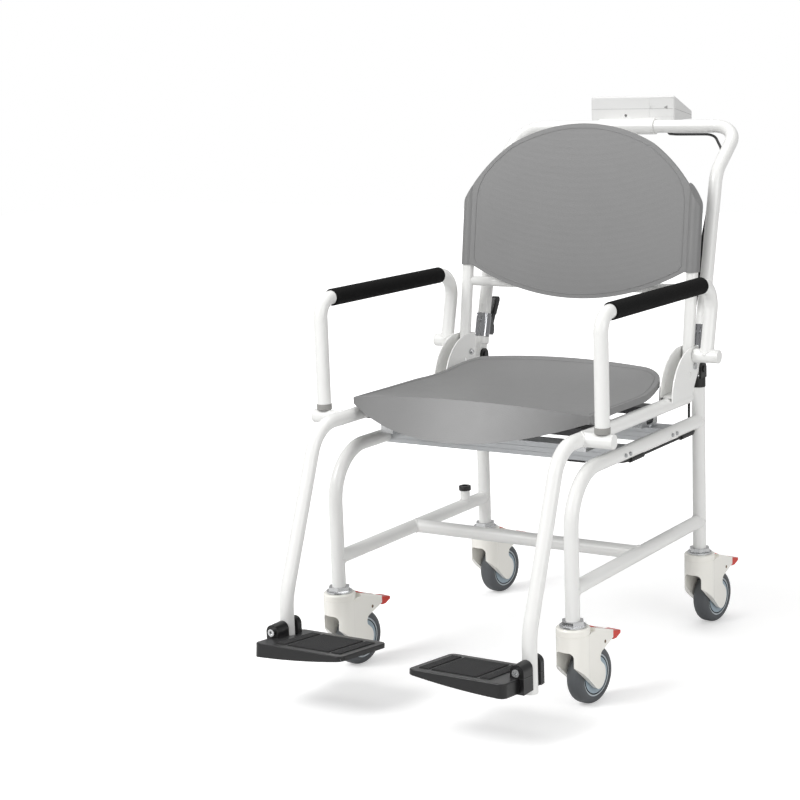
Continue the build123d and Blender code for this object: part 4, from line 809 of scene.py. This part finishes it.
class Workshop:
    """Materials made once, and the calls that every sub-assembly uses."""

    ripple_pitch = 3.2

    def __init__(self, nodes: dict[str, bpy.types.Object]) -> None:
        """Take in the frame's nodes and build both trees.

        Args:
            nodes: Objects of the frame by node name.
        """
        self.nodes = nodes
        self.materials: dict[str, bpy.types.Material] = {}
        self.bead = BeadTree()
        self.ribs = RibTree()

    def material(self, finish: Finish) -> bpy.types.Material:
        """The finish's material, made on first use.

        Args:
            finish: The finish.

        Returns:
            The material.
        """
        if finish.name not in self.materials:
            self.materials[finish.name] = finish.material()
        return self.materials[finish.name]

    def dress(self, finish: Finish, *names: str) -> None:
        """Give frame nodes a finish.

        Args:
            finish: The finish.
            *names: Names of the nodes.
        """
        for name in names:
            node = self.nodes[name]
            if not node.material_slots:
                node.data.materials.append(None)
            for slot in node.material_slots:
                slot.material = self.material(finish)

    def mount(self, piece: bpy.types.Object, body: str, finish: Finish) -> bpy.types.Object:
        """Let a new piece ride on a body and report it.

        Args:
            piece: The piece.
            body: Name of the body.
            finish: Not used.

        Returns:
            The piece.
        """
        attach(piece, body)
        LOG.info("piece %s on %s, %d faces", piece.name, body, len(piece.data.polygons))
        return piece

    def bead_piece(self, name: str, mesh: bpy.types.Mesh, radius: float, finish: Finish, body: str,
                   ripple: float = 0.0, step: float = 1.2, sides: int = 8) -> bpy.types.Object:
        """Bead along the edges of a mesh.

        Args:
            name: Name of the piece.
            mesh: Bare edges to follow.
            radius: Radius of the bead in millimetres.
            finish: Its finish.
            body: Body that it rides on.
            ripple: Share by which it swells and thins.
            step: Distance between its rings in millimetres.
            sides: Sides round it.

        Returns:
            The piece.
        """
        piece = self.bead.run(name, mesh, {
            "Radius": radius * MM, "Ripple": ripple, "Ripple Pitch": self.ripple_pitch * MM,
            "Step": step * MM, "Sides": sides, "Material": self.material(finish)})
        return self.mount(piece, body, finish)

    def inlay_piece(self, name: str, shapes: Iterable[Polygon], facet: Facet, heights: tuple[float, float],
                    finish: Finish, body: str) -> bpy.types.Object:
        """Thin raised shapes that ride on a body.

        Args:
            name: Name of the piece.
            shapes: Outlines in millimetres, anticlockwise from outside.
            facet: Facet that they stand on.
            heights: Heights of their underside and face in millimetres.
            finish: Their finish.
            body: Body that they ride on.

        Returns:
            The piece.
        """
        return self.mount(inlay(name, shapes, facet, *heights, self.material(finish)), body, finish)

    def lathe_piece(self, name: str, profile: Polygon, facets: Iterable[Facet], finish: Finish, body: str,
                    segments: int = 20) -> bpy.types.Object:
        """Turned shapes that ride on a body.

        Args:
            name: Name of the piece.
            profile: Radius and height in millimetres, from the outer foot to the tip.
            facets: One facet for each copy.
            finish: Their finish.
            body: Body that they ride on.
            segments: Faces round each copy.

        Returns:
            The piece.
        """
        return self.mount(lathe(name, profile, facets, self.material(finish), segments), body, finish)

    def surface(self, node: str) -> BVHTree:
        """Search tree over a frame node's faces.

        Args:
            node: Name of the node.

        Returns:
            The tree.
        """
        mesh = self.nodes[node].data
        corners = [vertex.co.copy() for vertex in mesh.vertices]
        return BVHTree.FromPolygons(corners, [tuple(face.vertices) for face in mesh.polygons])


@dataclass(frozen=True)
class TubeJoint:
    """A branch tube that meets a main tube squarely."""

    centre: tuple[float, float, float]
    main: tuple[float, float, float]
    branch: tuple[float, float, float]
    main_r: float = TUBE_R
    branch_r: float = TUBE_R

    def loop(self, count: int = 48) -> list[Vector]:
        """Points round the line where the tubes meet.

        Args:
            count: Number of points.

        Returns:
            The points in metres.
        """
        branch = Vector(self.branch).normalized()
        along = Vector(self.main).normalized()
        cross = along.cross(branch)
        centre = at(*self.centre)
        points = []
        for i in range(count):
            angle = math.tau * i / count
            side = self.branch_r * math.cos(angle)
            reach = math.sqrt(max(0.0, self.main_r ** 2 - side ** 2))
            offset = cross * side + along * self.branch_r * math.sin(angle) + branch * reach
            points.append(centre + offset * MM)
        return points


@dataclass
class BaseFrame:
    """Legs, posts, rails, beams, cells, carriers and their weld beads."""

    shop: Workshop
    rail_z: float = 194.0
    side_rail_z: float = 387.0
    seat_rail_x: float = 240.0
    seat_rail_z: float = 442.0
    stop_y: float = -219.0
    stub_y: float = 182.0
    stub_r: float = 9.5
    bead_r: float = 1.7

    def joints(self) -> list[TubeJoint]:
        """Every welded joint of the base.

        Returns:
            The joints.
        """
        joints = []
        for side, _ in SIDES:
            x = side * HALF_TRACK
            joints.append(TubeJoint((x, -HALF_BASE, self.rail_z), (0, 0, 1), (0, 1, 0)))
            joints.append(TubeJoint((x, HALF_BASE, self.rail_z), (0, 0, 1), (0, -1, 0)))
            joints.append(TubeJoint((x, 0, self.rail_z), (0, 1, 0), (-side, 0, 0)))
            joints.append(TubeJoint((x, HALF_BASE, self.side_rail_z), (0, 0, 1), (0, -1, 0)))
            stop = (side * self.seat_rail_x, self.stop_y, self.seat_rail_z)
            joints.append(TubeJoint(stop, (0, 1, 0), (side, 0, 0)))
        joints.append(TubeJoint((-HALF_TRACK, self.stub_y, self.rail_z), (0, 1, 0), (0, 0, 1),
                                branch_r=self.stub_r))
        return joints

    def build(self) -> None:
        """Dress the nodes and add the weld beads."""
        shop = self.shop
        shop.dress(POWDER_WHITE, "front_leg_left", "front_leg_right", "rear_posts", "lower_rail_left",
                   "lower_rail_right", "lower_crossbar", "seat_rail_left", "seat_rail_right",
                   "gusset_brackets", "arm_pivot_pins")
        shop.dress(SOCKET_BLACK, "pole_socket")
        shop.dress(BEAM_ALUMINIUM, "load_beams")
        shop.dress(PLATED_STEEL, "load_cells", "backrest_pivot_bolts", "footplate_bolts", "caster_stems")
        shop.dress(CARRIER_GREY, "seat_supports")
        shop.dress(HINGE_BLACK, "hinge_bases")
        shop.dress(CABLE_BLACK, "cable_lower", "cable_upper", "cable_guides")
        mesh = edge_mesh("weld_paths", (joint.loop() for joint in self.joints()))
        shop.bead_piece("weld_beads_base", mesh, self.bead_r, POWDER_WHITE, "base", ripple=WELD_RIPPLE)


@dataclass
class SeatAndBack:
    """Seat pan and backrest shell with their moulded rim lines."""

    shop: Workshop
    line_r: float = 0.8
    line_step: float = 4.0
    line_sides: int = 6
    back_inset: float = 8.0
    dome_half: float = 150.0
    dome_low_z: float = 903.0
    dome_rise: float = 37.0
    shoulder: Polygon = ((184.0, 868.0), (206.0, 844.0), (217.0, 823.0), (221.5, 800.0), (222.0, 778.0),
                         (222.0, 682.0))
    belly_half: float = 216.0
    belly_z: float = 613.0
    belly_rise: float = 57.0
    belly_rise_half: float = 226.0
    arc_steps: int = 60
    before_back_y: float = 100.0
    side_x: float = 231.0
    front_y: float = -176.0
    taper_y: float = 25.0
    rear_x: float = 203.0
    rear_y: float = 153.0
    corner_trim: float = 38.0
    corner_steps: int = 10
    above_seat_z: float = 600.0

    def back_line(self) -> list[Vector]:
        """Line inside the backrest's outline, on its front face.

        Returns:
            Its points in metres.
        """
        dome: list[tuple[float, float]] = []
        belly: list[tuple[float, float]] = []
        for i in range(self.arc_steps + 1):
            x = -self.dome_half + 2 * self.dome_half * i / self.arc_steps
            rise = self.dome_rise * (1 - (x / self.dome_half) ** 2)
            dome.append((x, self.dome_low_z + rise - self.back_inset))
        for i in range(self.arc_steps + 1):
            x = self.belly_half - 2 * self.belly_half * i / self.arc_steps
            rise = self.belly_rise * (x / self.belly_rise_half) ** 2
            belly.append((x, self.belly_z + rise + self.back_inset))
        right = list(self.shoulder)
        left = [(-x, z) for x, z in reversed(right)]
        shell = self.shop.surface("backrest_shell")
        points = []
        for x, z in dome + right + belly + left:
            hit = shell.ray_cast(at(x, self.before_back_y, z), Vector((0.0, 1.0, 0.0)))[0]
            if hit is not None:
                points.append(hit)
        return points

    def seat_line(self) -> list[Vector]:
        """Line inside the seat's side and rear edges, on its upper face.

        Returns:
            Its points in metres.
        """
        half = ((self.side_x, self.front_y), (self.side_x, self.taper_y), (self.rear_x, self.rear_y))
        corners = [Vector((-x, y)) for x, y in half] + [Vector((x, y)) for x, y in reversed(half)]
        track = [corners[0]]
        for before, corner, after in zip(corners, corners[1:], corners[2:]):
            first = corner + (before - corner).normalized() * self.corner_trim
            last = corner + (after - corner).normalized() * self.corner_trim
            for i in range(self.corner_steps + 1):
                share = i / self.corner_steps
                bend = first * (1 - share) ** 2 + corner * 2 * share * (1 - share) + last * share ** 2
                track.append(bend)
        track.append(corners[-1])
        pan = self.shop.surface("seat_shell")
        points = []
        for start, end in zip(track, track[1:]):
            count = max(1, round((end - start).length / self.line_step))
            for i in range(count):
                spot = start.lerp(end, i / count)
                hit = pan.ray_cast(at(spot.x, spot.y, self.above_seat_z), Vector((0.0, 0.0, -1.0)))[0]
                if hit is not None:
                    points.append(hit)
        return points

    def build(self) -> None:
        """Dress the shells and posts and add the lines."""
        shop = self.shop
        shop.dress(SEAT_GREY, "seat_shell", "backrest_shell")
        shop.dress(POWDER_WHITE, "backrest_posts", "backrest_crossbar")
        shop.bead_piece("back_rim_line", edge_mesh("back_rim", [self.back_line()]), self.line_r, SEAT_GREY,
                        "backrest", step=self.line_step, sides=self.line_sides)
        shop.bead_piece("seat_rim_line", edge_mesh("seat_rim", [self.seat_line()], closed=False), self.line_r,
                        SEAT_GREY, "base", step=self.line_step, sides=self.line_sides)


@dataclass
class Armrests:
    """Swing-up arms with foam sleeves and rubber feet."""

    shop: Workshop
    arm_x: float = 279.0
    pivot_y: float = 200.0
    pivot_z: float = 520.0
    upright: tuple[float, float, float] = (0.0, 32.0, 132.0)
    bead_r: float = 1.6

    def build(self) -> None:
        """Dress both arms and bead the pivot sleeves."""
        for side, word in SIDES:
            shop = self.shop
            shop.dress(POWDER_WHITE, f"arm_{word}")
            shop.dress(FOAM_BLACK, f"arm_pad_{word}")
            shop.dress(FOOT_RUBBER, f"arm_foot_{word}")
            joint = TubeJoint((side * self.arm_x, self.pivot_y, self.pivot_z), (1, 0, 0), self.upright)
            mesh = edge_mesh(f"arm_weld_{word}", [joint.loop()])
            shop.bead_piece(f"weld_bead_arm_{word}", mesh, self.bead_r, POWDER_WHITE, f"armrest_{word}",
                            ripple=WELD_RIPPLE)


@dataclass
class Footplates:
    """Folding plates with ribbed treads."""

    shop: Workshop
    plate_x: float = 143.0
    rib_count: int = 34
    rib_pitch: float = 2.9
    rib_r: float = 0.62
    mat_raise: float = 1.2
    mat_down: float = 23.25
    fields: tuple[tuple[float, float], ...] = ((0.0, 80.0), (-57.0, 15.0), (57.0, 15.0))

    def build(self) -> None:
        """Dress both plates and lay the ribs on their treads."""
        shop = self.shop
        upward = Vector((0.0, math.cos(DECK_TILT), -math.sin(DECK_TILT)))
        outward = Vector((0.0, math.sin(DECK_TILT), math.cos(DECK_TILT)))
        for side, word in SIDES:
            shop.dress(TREAD_PLASTIC, f"footplate_{word}")
            for index, (shift, width) in enumerate(self.fields):
                centre = at(side * self.plate_x + shift, DECK_Y, DECK_Z)
                centre += (upward * -self.mat_down + outward * self.mat_raise) * MM
                facet = Facet(centre, Vector((1.0, 0.0, 0.0)), upward)
                name = f"tread_ribs_{word}_{index + 1}"
                piece = shop.ribs.run(name, bpy.data.meshes.new(name + "_seed"), {
                    "Count": self.rib_count, "Pitch": self.rib_pitch, "Rib Length": width,
                    "Rib Radius": self.rib_r, "Material": shop.material(TREAD_RIB)})
                piece.data.transform(facet.matrix())
                shop.mount(piece, f"footplate_{word}", TREAD_RIB)


@dataclass
class PushHandle:
    """Folding handle with its latches and the cable's flexible sleeve."""

    shop: Workshop
    hinge_z: float = 486.0
    sleeve_x: float = 218.0
    sleeve_route: tuple[tuple[float, float, float], ...] = (
        (0.1, 255.5, -11.0), (0.0, 256.0, -4.0), (0.0, 256.9, 4.0), (0.0, 258.6, 11.0))
    sleeve_r: float = 2.9
    sleeve_ripple: float = 0.05
    sleeve_pitch: float = 2.0
    sleeve_step: float = 0.5
    sleeve_sides: int = 16

    def build(self) -> None:
        """Dress the handle's nodes and add the cable's sleeve at the hinge."""
        shop = self.shop
        shop.dress(POWDER_WHITE, "handle_loop", "indicator_bracket")
        shop.dress(CHROME, "latch_sleeves")
        shop.dress(LATCH_GREY, "latch_housings")
        shop.dress(LEVER_BLACK, "latch_lever_left", "latch_lever_right")
        path = [at(self.sleeve_x + aside, y, self.hinge_z + height) for aside, y, height in self.sleeve_route]
        mesh = edge_mesh("sleeve_path", [path], closed=False)
        piece = shop.bead.run("cable_sleeve", mesh, {
            "Radius": self.sleeve_r * MM, "Ripple": self.sleeve_ripple,
            "Ripple Pitch": self.sleeve_pitch * MM, "Step": self.sleeve_step * MM,
            "Sides": self.sleeve_sides, "Material": shop.material(CABLE_BLACK)})
        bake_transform(piece)
        LOG.info("piece %s between base and handle", piece.name)


SEGMENTS = {"0": "abcdef", "1": "bc", "2": "abged", "3": "abgcd", "4": "fgbc", "5": "afgcd",
            "6": "afgedc", "7": "abc", "8": "abcdefg", "9": "abcdfg"}


@dataclass
class Indicator:
    """Case, display and keys, with generic figures and signs."""

    shop: Workshop
    case_front_y: float = 472.0
    case_depth: float = 86.0
    face_top_z: float = 987.0
    face_drop: float = 34.0
    reading: str = "624"
    digit_starts: tuple[float, ...] = (-4.0, 13.0, 33.5)
    digit_height: float = 27.0
    digit_width: float = 14.0
    stroke: float = 3.3
    segment_gap: float = 0.35
    slant: float = 0.13
    point_x: float = 29.0
    point_size: float = 3.0
    point_lean: float = 0.4
    pointer: Polygon = ((-48.0, 9.0), (-44.0, 6.6), (-44.0, 11.4))
    figure_heights: tuple[float, float] = (-0.62, -0.48)
    unit_size: float = 6.5
    unit_thickness: float = 0.06
    unit_curve_steps: int = 3
    unit_at: tuple[float, float, float] = (-23.0, 8.0, -0.55)
    window_down: float = 38.0
    key_down: float = 73.0
    key_pitch: float = 22.4
    sign_heights: tuple[float, float] = (0.85, 0.98)
    mark_down: float = 84.0
    mark_heights: tuple[float, float] = (-0.02, 0.1)
    lamp_at: tuple[float, float] = (-68.0, 14.0)
    lamp_ring: Polygon = ((3.4, -0.1), (3.4, 0.5), (3.0, 0.8), (2.2, 0.8), (2.0, 0.3))
    lamp_lens: Polygon = ((1.9, 0.2), (1.9, 0.6), (1.5, 1.1), (0.8, 1.35), (0.2, 1.4))
    door_x: float = 74.0
    door_z: float = 962.5
    # Triangle of the door's debossed mark, filled with painted shade
    door_mark_shade: Polygon = ((-4.2, 0.0), (3.4, -3.6), (3.4, 3.6))
    door_heights: tuple[float, float] = (-0.05, 0.4)
    seam_z: float = 960.0
    seam_drop: float = 16.0
    seam_r: float = 0.28
    seam_step: float = 3.0
    seam_sides: int = 6
    corner_x: float = 87.0
    corner_r: float = 5.0
    corner_turn: float = 22.5

    def face(self, u: float, down: float) -> Facet:
        """Facet on the sloping face.

        Args:
            u: Millimetres to the reader's right of the middle.
            down: Millimetres down the slope from its top edge.

        Returns:
            The facet.
        """
        slope = math.atan2(self.face_drop, self.case_depth)
        upward = Vector((0.0, -math.cos(slope), math.sin(slope)))
        across = Vector((-1.0, 0.0, 0.0))
        top = at(0.0, self.case_front_y, self.face_top_z)
        return Facet(top + (across * u - upward * down) * MM, across, upward)

    def segment(self, name: str) -> list[tuple[float, float]]:
        """Outline of one display segment, before its slant.

        Args:
            name: Letter of the segment, from a to g.

        Returns:
            Its corners in millimetres.
        """
        w, h, s = self.digit_width, self.digit_height, self.stroke
        gap = self.segment_gap
        level = {"a": h, "g": h / 2 + s / 2, "d": s}
        if name in level:
            top = level[name]
            mid = top - s / 2
            return [(gap + s / 2, mid), (gap + s, top - s), (w - s - gap, top - s), (w - gap - s / 2, mid),
                    (w - s - gap, top), (gap + s, top)]
        x = 0.0 if name in "fe" else w - s
        low, high = (h / 2, h) if name in "fb" else (0.0, h / 2)
        mid = x + s / 2
        tip, edge = gap + s / 4, gap + s * 3 / 4
        return [(mid, low + tip), (x + s, low + edge), (x + s, high - edge),
                (mid, high - tip), (x, high - edge), (x, low + edge)]

    def figures(self) -> list[Polygon]:
        """Outlines of the reading, with its point and a pointer at the left.

        Returns:
            The outlines in millimetres.
        """
        shapes: list[Polygon] = []
        low = -self.digit_height / 2
        for digit, start in zip(self.reading, self.digit_starts):
            for name in SEGMENTS[digit]:
                shapes.append([(start + x + y * self.slant, y + low) for x, y in self.segment(name)])
        left, right, high = self.point_x, self.point_x + self.point_size, low + self.point_size
        lean = self.point_lean
        shapes.append([(left, low), (right, low), (right + lean, high), (left + lean, high)])
        shapes.append(self.pointer)
        return shapes

    def window_signs(self) -> None:
        """Figures on the display."""
        facet = self.face(0.0, self.window_down)
        shop = self.shop
        shop.inlay_piece("display_figures", self.figures(), facet, self.figure_heights, INK_DARK, "handle")
        font = bpy.data.curves.new("unit_text", "FONT")
        font.body = "kg"
        font.size = self.unit_size
        font.extrude = self.unit_thickness
        font.resolution_u = self.unit_curve_steps
        piece = plain_copy(linked("unit_text", font), "display_unit")
        piece.data.materials.clear()
        piece.data.materials.append(shop.material(INK_DARK))
        piece.data.transform(facet.matrix() @ Matrix.Translation(self.unit_at))
        shop.mount(piece, "handle", INK_DARK)

    @staticmethod
    def ring(radius: float, width: float, start: float, sweep: float, count: int = 16) -> list[Polygon]:
        """Part of a ring as short four-sided pieces.

        Args:
            radius: Outer radius.
            width: Width of the ring.
            start: Angle where it begins, in turns.
            sweep: Share of a whole turn.
            count: Number of pieces.

        Returns:
            Their outlines.
        """
        shapes = []
        inner = radius - width
        for i in range(count):
            a, b = (math.tau * (start + sweep * k / count) for k in (i, i + 1))
            ends = ((inner, a), (radius, a), (radius, b), (inner, b))
            shapes.append([(reach * math.cos(angle), reach * math.sin(angle)) for reach, angle in ends])
        return shapes

    def key_signs(self) -> list[list[Polygon]]:
        """Signs on the five keys, from the reader's left.

        Returns:
            The outlines of each sign in millimetres.
        """
        def bar(x0: float, y0: float, x1: float, y1: float) -> Polygon:
            """Outline of a box from its lower left to its upper right corner."""
            return [(x0, y0), (x1, y0), (x1, y1), (x0, y1)]

        swap = [bar(-4.2, 1.5, 2.2, 2.3), [(2.2, 0.2), (5.2, 1.9), (2.2, 3.6)],
                bar(-2.2, -2.3, 4.2, -1.5), [(-2.2, -3.6), (-2.2, -0.2), (-5.2, -1.9)]]
        screen = [bar(-4.5, 3.2, 4.5, 3.9), bar(-4.5, -2.2, -3.8, 3.2), bar(3.8, -2.2, 4.5, 3.2),
                  bar(-4.5, -2.9, 4.5, -2.2), bar(-2.0, -4.2, 2.0, -3.5), bar(-2.8, 0.2, 0.4, 1.0),
                  [(0.4, -1.0), (2.6, 0.6), (0.4, 2.2)]]
        power = self.ring(3.7, 0.8, 0.33, 0.84) + [bar(-0.4, 0.6, 0.4, 4.6)]
        hold = [bar(-2.6, -3.4, -0.8, 3.4), bar(0.8, -3.4, 2.6, 3.4)]
        arrows = [bar(-6.2, -0.35, -4.4, 0.35), [(-4.4, -1.4), (-2.6, 0.0), (-4.4, 1.4)],
                  bar(4.4, -0.35, 6.2, 0.35), [(4.4, 1.4), (2.6, 0.0), (4.4, -1.4)]]
        zero = self.ring(2.0, 0.7, 0.0, 1.0) + arrows
        return [swap, screen, power, hold, zero]

    def keys(self) -> None:
        """Dress the keys and add their signs and the small marks below them."""
        shop = self.shop
        signs = self.key_signs()
        middle = len(signs) // 2
        for place, shapes in enumerate(signs):
            key = f"key_{len(signs) - place}"
            facet = self.face((place - middle) * self.key_pitch, self.key_down)
            shop.dress(KEY_GREY, key)
            shop.inlay_piece(f"{key}_sign", shapes, facet, self.sign_heights, INK_WHITE, key)
        marks = [[(-1.3, -1.3), (1.3, 0.0), (-1.3, 1.3)], [(-1.4, 1.1), (0.0, -1.3), (1.4, 1.1)],
                 [(-1.4, -1.1), (1.4, -1.1), (0.0, 1.3)]]
        shapes = [[(x + (place - middle) * self.key_pitch, y) for x, y in mark]
                  for mark, place in zip(marks, (1, 3, 4))]
        facet = self.face(0.0, self.mark_down)
        shop.inlay_piece("key_marks", shapes, facet, self.mark_heights, SEAM_SHADE, "handle")

    def seam(self) -> None:
        """Thin shade line where the two shells of the case meet."""
        front = self.case_front_y + self.corner_r
        rear = self.case_front_y + self.case_depth - self.corner_r
        corners = ((-self.corner_x, rear, range(6, 9)), (-self.corner_x, front, range(8, 13)),
                   (self.corner_x, front, range(12, 17)), (self.corner_x, rear, range(3)))
        path = []
        for x, y, turns in corners:
            for turn in turns:
                angle = math.radians(self.corner_turn * turn)
                px, py = x + self.corner_r * math.cos(angle), y + self.corner_r * math.sin(angle)
                drop = (py - self.case_front_y) * self.seam_drop / self.case_depth
                path.append(at(px, py, self.seam_z - drop))
        mesh = edge_mesh("seam_path", [path], closed=False)
        self.shop.bead_piece("case_seam", mesh, self.seam_r, SEAM_SHADE, "handle", step=self.seam_step,
                             sides=self.seam_sides)

    def build(self) -> None:
        """Dress the case and keys and add the figures, signs, lamp, the door mark's painted shade and the
        seam.
        """
        shop = self.shop
        shop.dress(CASE_GREY, "indicator_case_top", "indicator_case_bottom", "battery_door")
        shop.dress(DISPLAY_GREEN, "display_window")
        self.window_signs()
        self.keys()
        lamp = self.face(*self.lamp_at)
        shop.lathe_piece("lamp_ring", self.lamp_ring, [lamp], LEVER_BLACK, "handle")
        shop.lathe_piece("lamp_lens", self.lamp_lens, [lamp], DISPLAY_GREEN, "handle")
        door = Facet(at(self.door_x, self.case_front_y, self.door_z), Vector((1.0, 0.0, 0.0)),
                     Vector((0.0, 0.0, 1.0)))
        # Painted shade: the debossed triangle is drawn as a darker grey raised mark
        shop.inlay_piece("door_mark_shade", [self.door_mark_shade], door, self.door_heights, SEAM_SHADE, "battery_door")
        self.seam()


@dataclass
class Casters:
    """Four braked casters: shells, wheels, pedals and their pins."""

    shop: Workshop
    axle_trail: float = 44.0
    pin_trail: float = 65.0
    pin_z: float = 104.0
    horn_half: float = 18.9
    pin_sink: float = 0.3
    pin_profile: Polygon = ((3.0, 0.0), (3.0, 0.5), (2.5, 0.9), (1.2, 0.9), (0.9, 0.5))
    pin_segments: int = 16

    def build(self) -> None:
        """Dress every caster and add the pedal pins' heads."""
        shop = self.shop
        across = Vector((math.cos(TRAIL_TURN), math.sin(TRAIL_TURN), 0.0))
        trail = Vector((-math.sin(TRAIL_TURN), math.cos(TRAIL_TURN), 0.0))
        for side, word in SIDES:
            for end, leg_y in ENDS:
                where = f"{end}_{word}"
                spot = Vector((side * HALF_TRACK, leg_y, 0.0))
                axle = spot + trail * self.axle_trail
                tyre = WheelFinish(f"wheel_{where}", axle=(axle.x, axle.y, WHEEL_R - LIFT))
                pedal = PedalFinish(f"pedal_{where}", spot=(spot.x, spot.y))
                shop.dress(CASTER_WHITE, f"caster_fork_{where}")
                shop.dress(tyre, f"caster_wheel_{where}")
                shop.dress(pedal, f"caster_pedal_{where}")
                facets = []
                for way in (1, -1):
                    point = spot + trail * self.pin_trail + across * way * (self.horn_half - self.pin_sink)
                    facets.append(Facet(at(point.x, point.y, self.pin_z - LIFT), trail * way,
                                        Vector((0.0, 0.0, 1.0))))
                shop.lathe_piece(f"pedal_pin_{where}", self.pin_profile, facets, CASTER_PIN,
                                 f"caster_{where}", self.pin_segments)


@dataclass(frozen=True)
class Lamp:
    """A square soft lamp: its place from the object's middle and its width in metres, and its watts."""

    name: str
    right: float
    forward: float
    height: float
    width: float
    power: float


@dataclass
class Studio:
    """Pale floor, soft lamps and the camera."""

    azimuth: float = math.radians(30.55)
    elevation: float = math.radians(10.24)
    roll: float = math.radians(-1.52)
    camera_at: tuple[float, float, float] = (1624.8, -2825.7, 1052.4)
    lens: float = 82.15
    shift: tuple[float, float] = (-0.125, -0.00625)
    sensor: float = 36.0
    sight: float = 50.0
    middle: tuple[float, float, float] = (0.0, 0.0, 0.5)
    lamps: tuple[Lamp, ...] = (Lamp("key_lamp", -2.4, -1.6, 1.9, 1.6, 82.0),
                               Lamp("fill_lamp", 2.2, -2.6, 0.6, 1.8, 32.0),
                               Lamp("top_lamp", 0.0, 0.6, 2.8, 1.6, 26.0))
    floor_tone: Colour = (0.82, 0.82, 0.82)
    floor_roughness: float = 0.9
    floor_specular: float = 0.1
    floor_reach: float = 9.0
    floor_z: float = -0.0005
    glow_distances: tuple[float, float] = (0.7, 2.2)
    glow_levels: tuple[float, float] = (0.40, 1.0)
    world_levels: tuple[float, float] = (0.46, 1.0)

    def directions(self) -> tuple[Vector, Vector, Vector]:
        """The camera's right, up and forward.

        Returns:
            Three unit vectors.
        """
        a, e, r = self.azimuth, self.elevation, self.roll
        forward = Vector((-math.sin(a) * math.cos(e), math.cos(a) * math.cos(e), -math.sin(e)))
        level = Vector((math.cos(a), math.sin(a), 0.0))
        plumb = level.cross(forward)
        right = level * math.cos(r) + plumb * math.sin(r)
        upward = plumb * math.cos(r) - level * math.sin(r)
        return right, upward, forward

    def camera(self) -> None:
        """The camera at the photograph's angle."""
        right, upward, forward = self.directions()
        data = bpy.data.cameras.new("camera")
        data.sensor_width = self.sensor
        data.lens = self.lens
        data.shift_x, data.shift_y = self.shift
        data.clip_end = self.sight
        view = linked("camera", data)
        turn = Matrix((right, upward, -forward)).transposed().to_4x4()
        view.matrix_world = Matrix.Translation(at(*self.camera_at)) @ turn
        bpy.context.scene.camera = view

    def light(self, lamp: Lamp) -> None:
        """Set up a lamp that faces the object's middle.

        Args:
            lamp: The lamp.
        """
        right, _, forward = self.directions()
        middle = Vector(self.middle)
        place = middle + right * lamp.right + forward * lamp.forward + Vector((0.0, 0.0, lamp.height))
        data = bpy.data.lights.new(lamp.name, "AREA")
        data.size = lamp.width
        data.energy = lamp.power
        light = linked(lamp.name, data)
        light.location = place
        light.rotation_euler = (middle - place).to_track_quat("-Z", "Y").to_euler()

    def floor_shader(self) -> Shader:
        """Shader of a floor that shows its shadow and fades to white with distance.

        Returns:
            The shader.
        """
        shader = Shader("studio_floor")
        shader.skin.inputs["Base Color"].default_value = (*self.floor_tone, 1.0)
        shader.skin.inputs["Roughness"].default_value = self.floor_roughness
        shader.skin.inputs["Specular IOR Level"].default_value = self.floor_specular
        rays = shader.add("ShaderNodeLightPath")
        glow = shader.add("ShaderNodeEmission")
        glow.inputs["Color"].default_value = (1.0, 1.0, 1.0, 1.0)
        place = shader.add("ShaderNodeNewGeometry")
        span = shader.add("ShaderNodeVectorMath", operation="LENGTH")
        shader.join(place.outputs["Position"], span.inputs[0])
        fade = shader.add("ShaderNodeMapRange", interpolation_type="SMOOTHSTEP")
        shader.join(span.outputs["Value"], fade.inputs["Value"])
        names = ("From Min", "From Max", "To Min", "To Max")
        for name, value in zip(names, self.glow_distances + self.glow_levels):
            fade.inputs[name].default_value = value
        shader.join(shader.math("MULTIPLY", rays.outputs["Is Camera Ray"], fade.outputs["Result"]),
                    glow.inputs["Strength"])
        both = shader.add("ShaderNodeAddShader")
        shader.join(shader.skin.outputs[0], both.inputs[0])
        shader.join(glow.outputs[0], both.inputs[1])
        shader.join(both.outputs[0], shader.output.inputs["Surface"])
        return shader

    def floor(self) -> None:
        """Lay the floor under the object."""
        reach = self.floor_reach
        corners = ((-reach, -reach), (reach, -reach), (reach, reach), (-reach, reach))
        floor = plain_object("studio_floor", [Vector((x, y, self.floor_z)) for x, y in corners],
                             [(0, 1, 2, 3)], self.floor_shader().material)

    def world(self) -> None:
        """White world, brighter to the camera than to the object."""
        world = bpy.data.worlds.new("studio_world")
        world.use_nodes = True
        bpy.context.scene.world = world
        tree = world.node_tree
        back = tree.nodes["Background"]
        back.inputs["Color"].default_value = (1.0, 1.0, 1.0, 1.0)
        rays = tree.nodes.new("ShaderNodeLightPath")
        level = tree.nodes.new("ShaderNodeMapRange")
        for name, value in zip(("To Min", "To Max"), self.world_levels):
            level.inputs[name].default_value = value
        tree.links.new(rays.outputs["Is Camera Ray"], level.inputs["Value"])
        tree.links.new(level.outputs["Result"], back.inputs["Strength"])

    def build(self) -> None:
        """Set the whole studio."""
        self.camera()
        self.floor()
        self.world()
        for lamp in self.lamps:
            self.light(lamp)


def main() -> None:
    """Load the frame, dress it and report every piece."""
    logging.basicConfig(level=logging.INFO, format="%(message)s")
    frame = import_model()
    bpy.context.scene.view_settings.view_transform = "Standard"
    shop = Workshop(frame["nodes"])
    Studio().build()
    for part in (BaseFrame(shop), SeatAndBack(shop), Armrests(shop), Footplates(shop), PushHandle(shop),
                 Indicator(shop), Casters(shop)):
        part.build()
        LOG.info("built %s", type(part).__name__)
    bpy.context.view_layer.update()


if __name__ == "__main__":
    main()
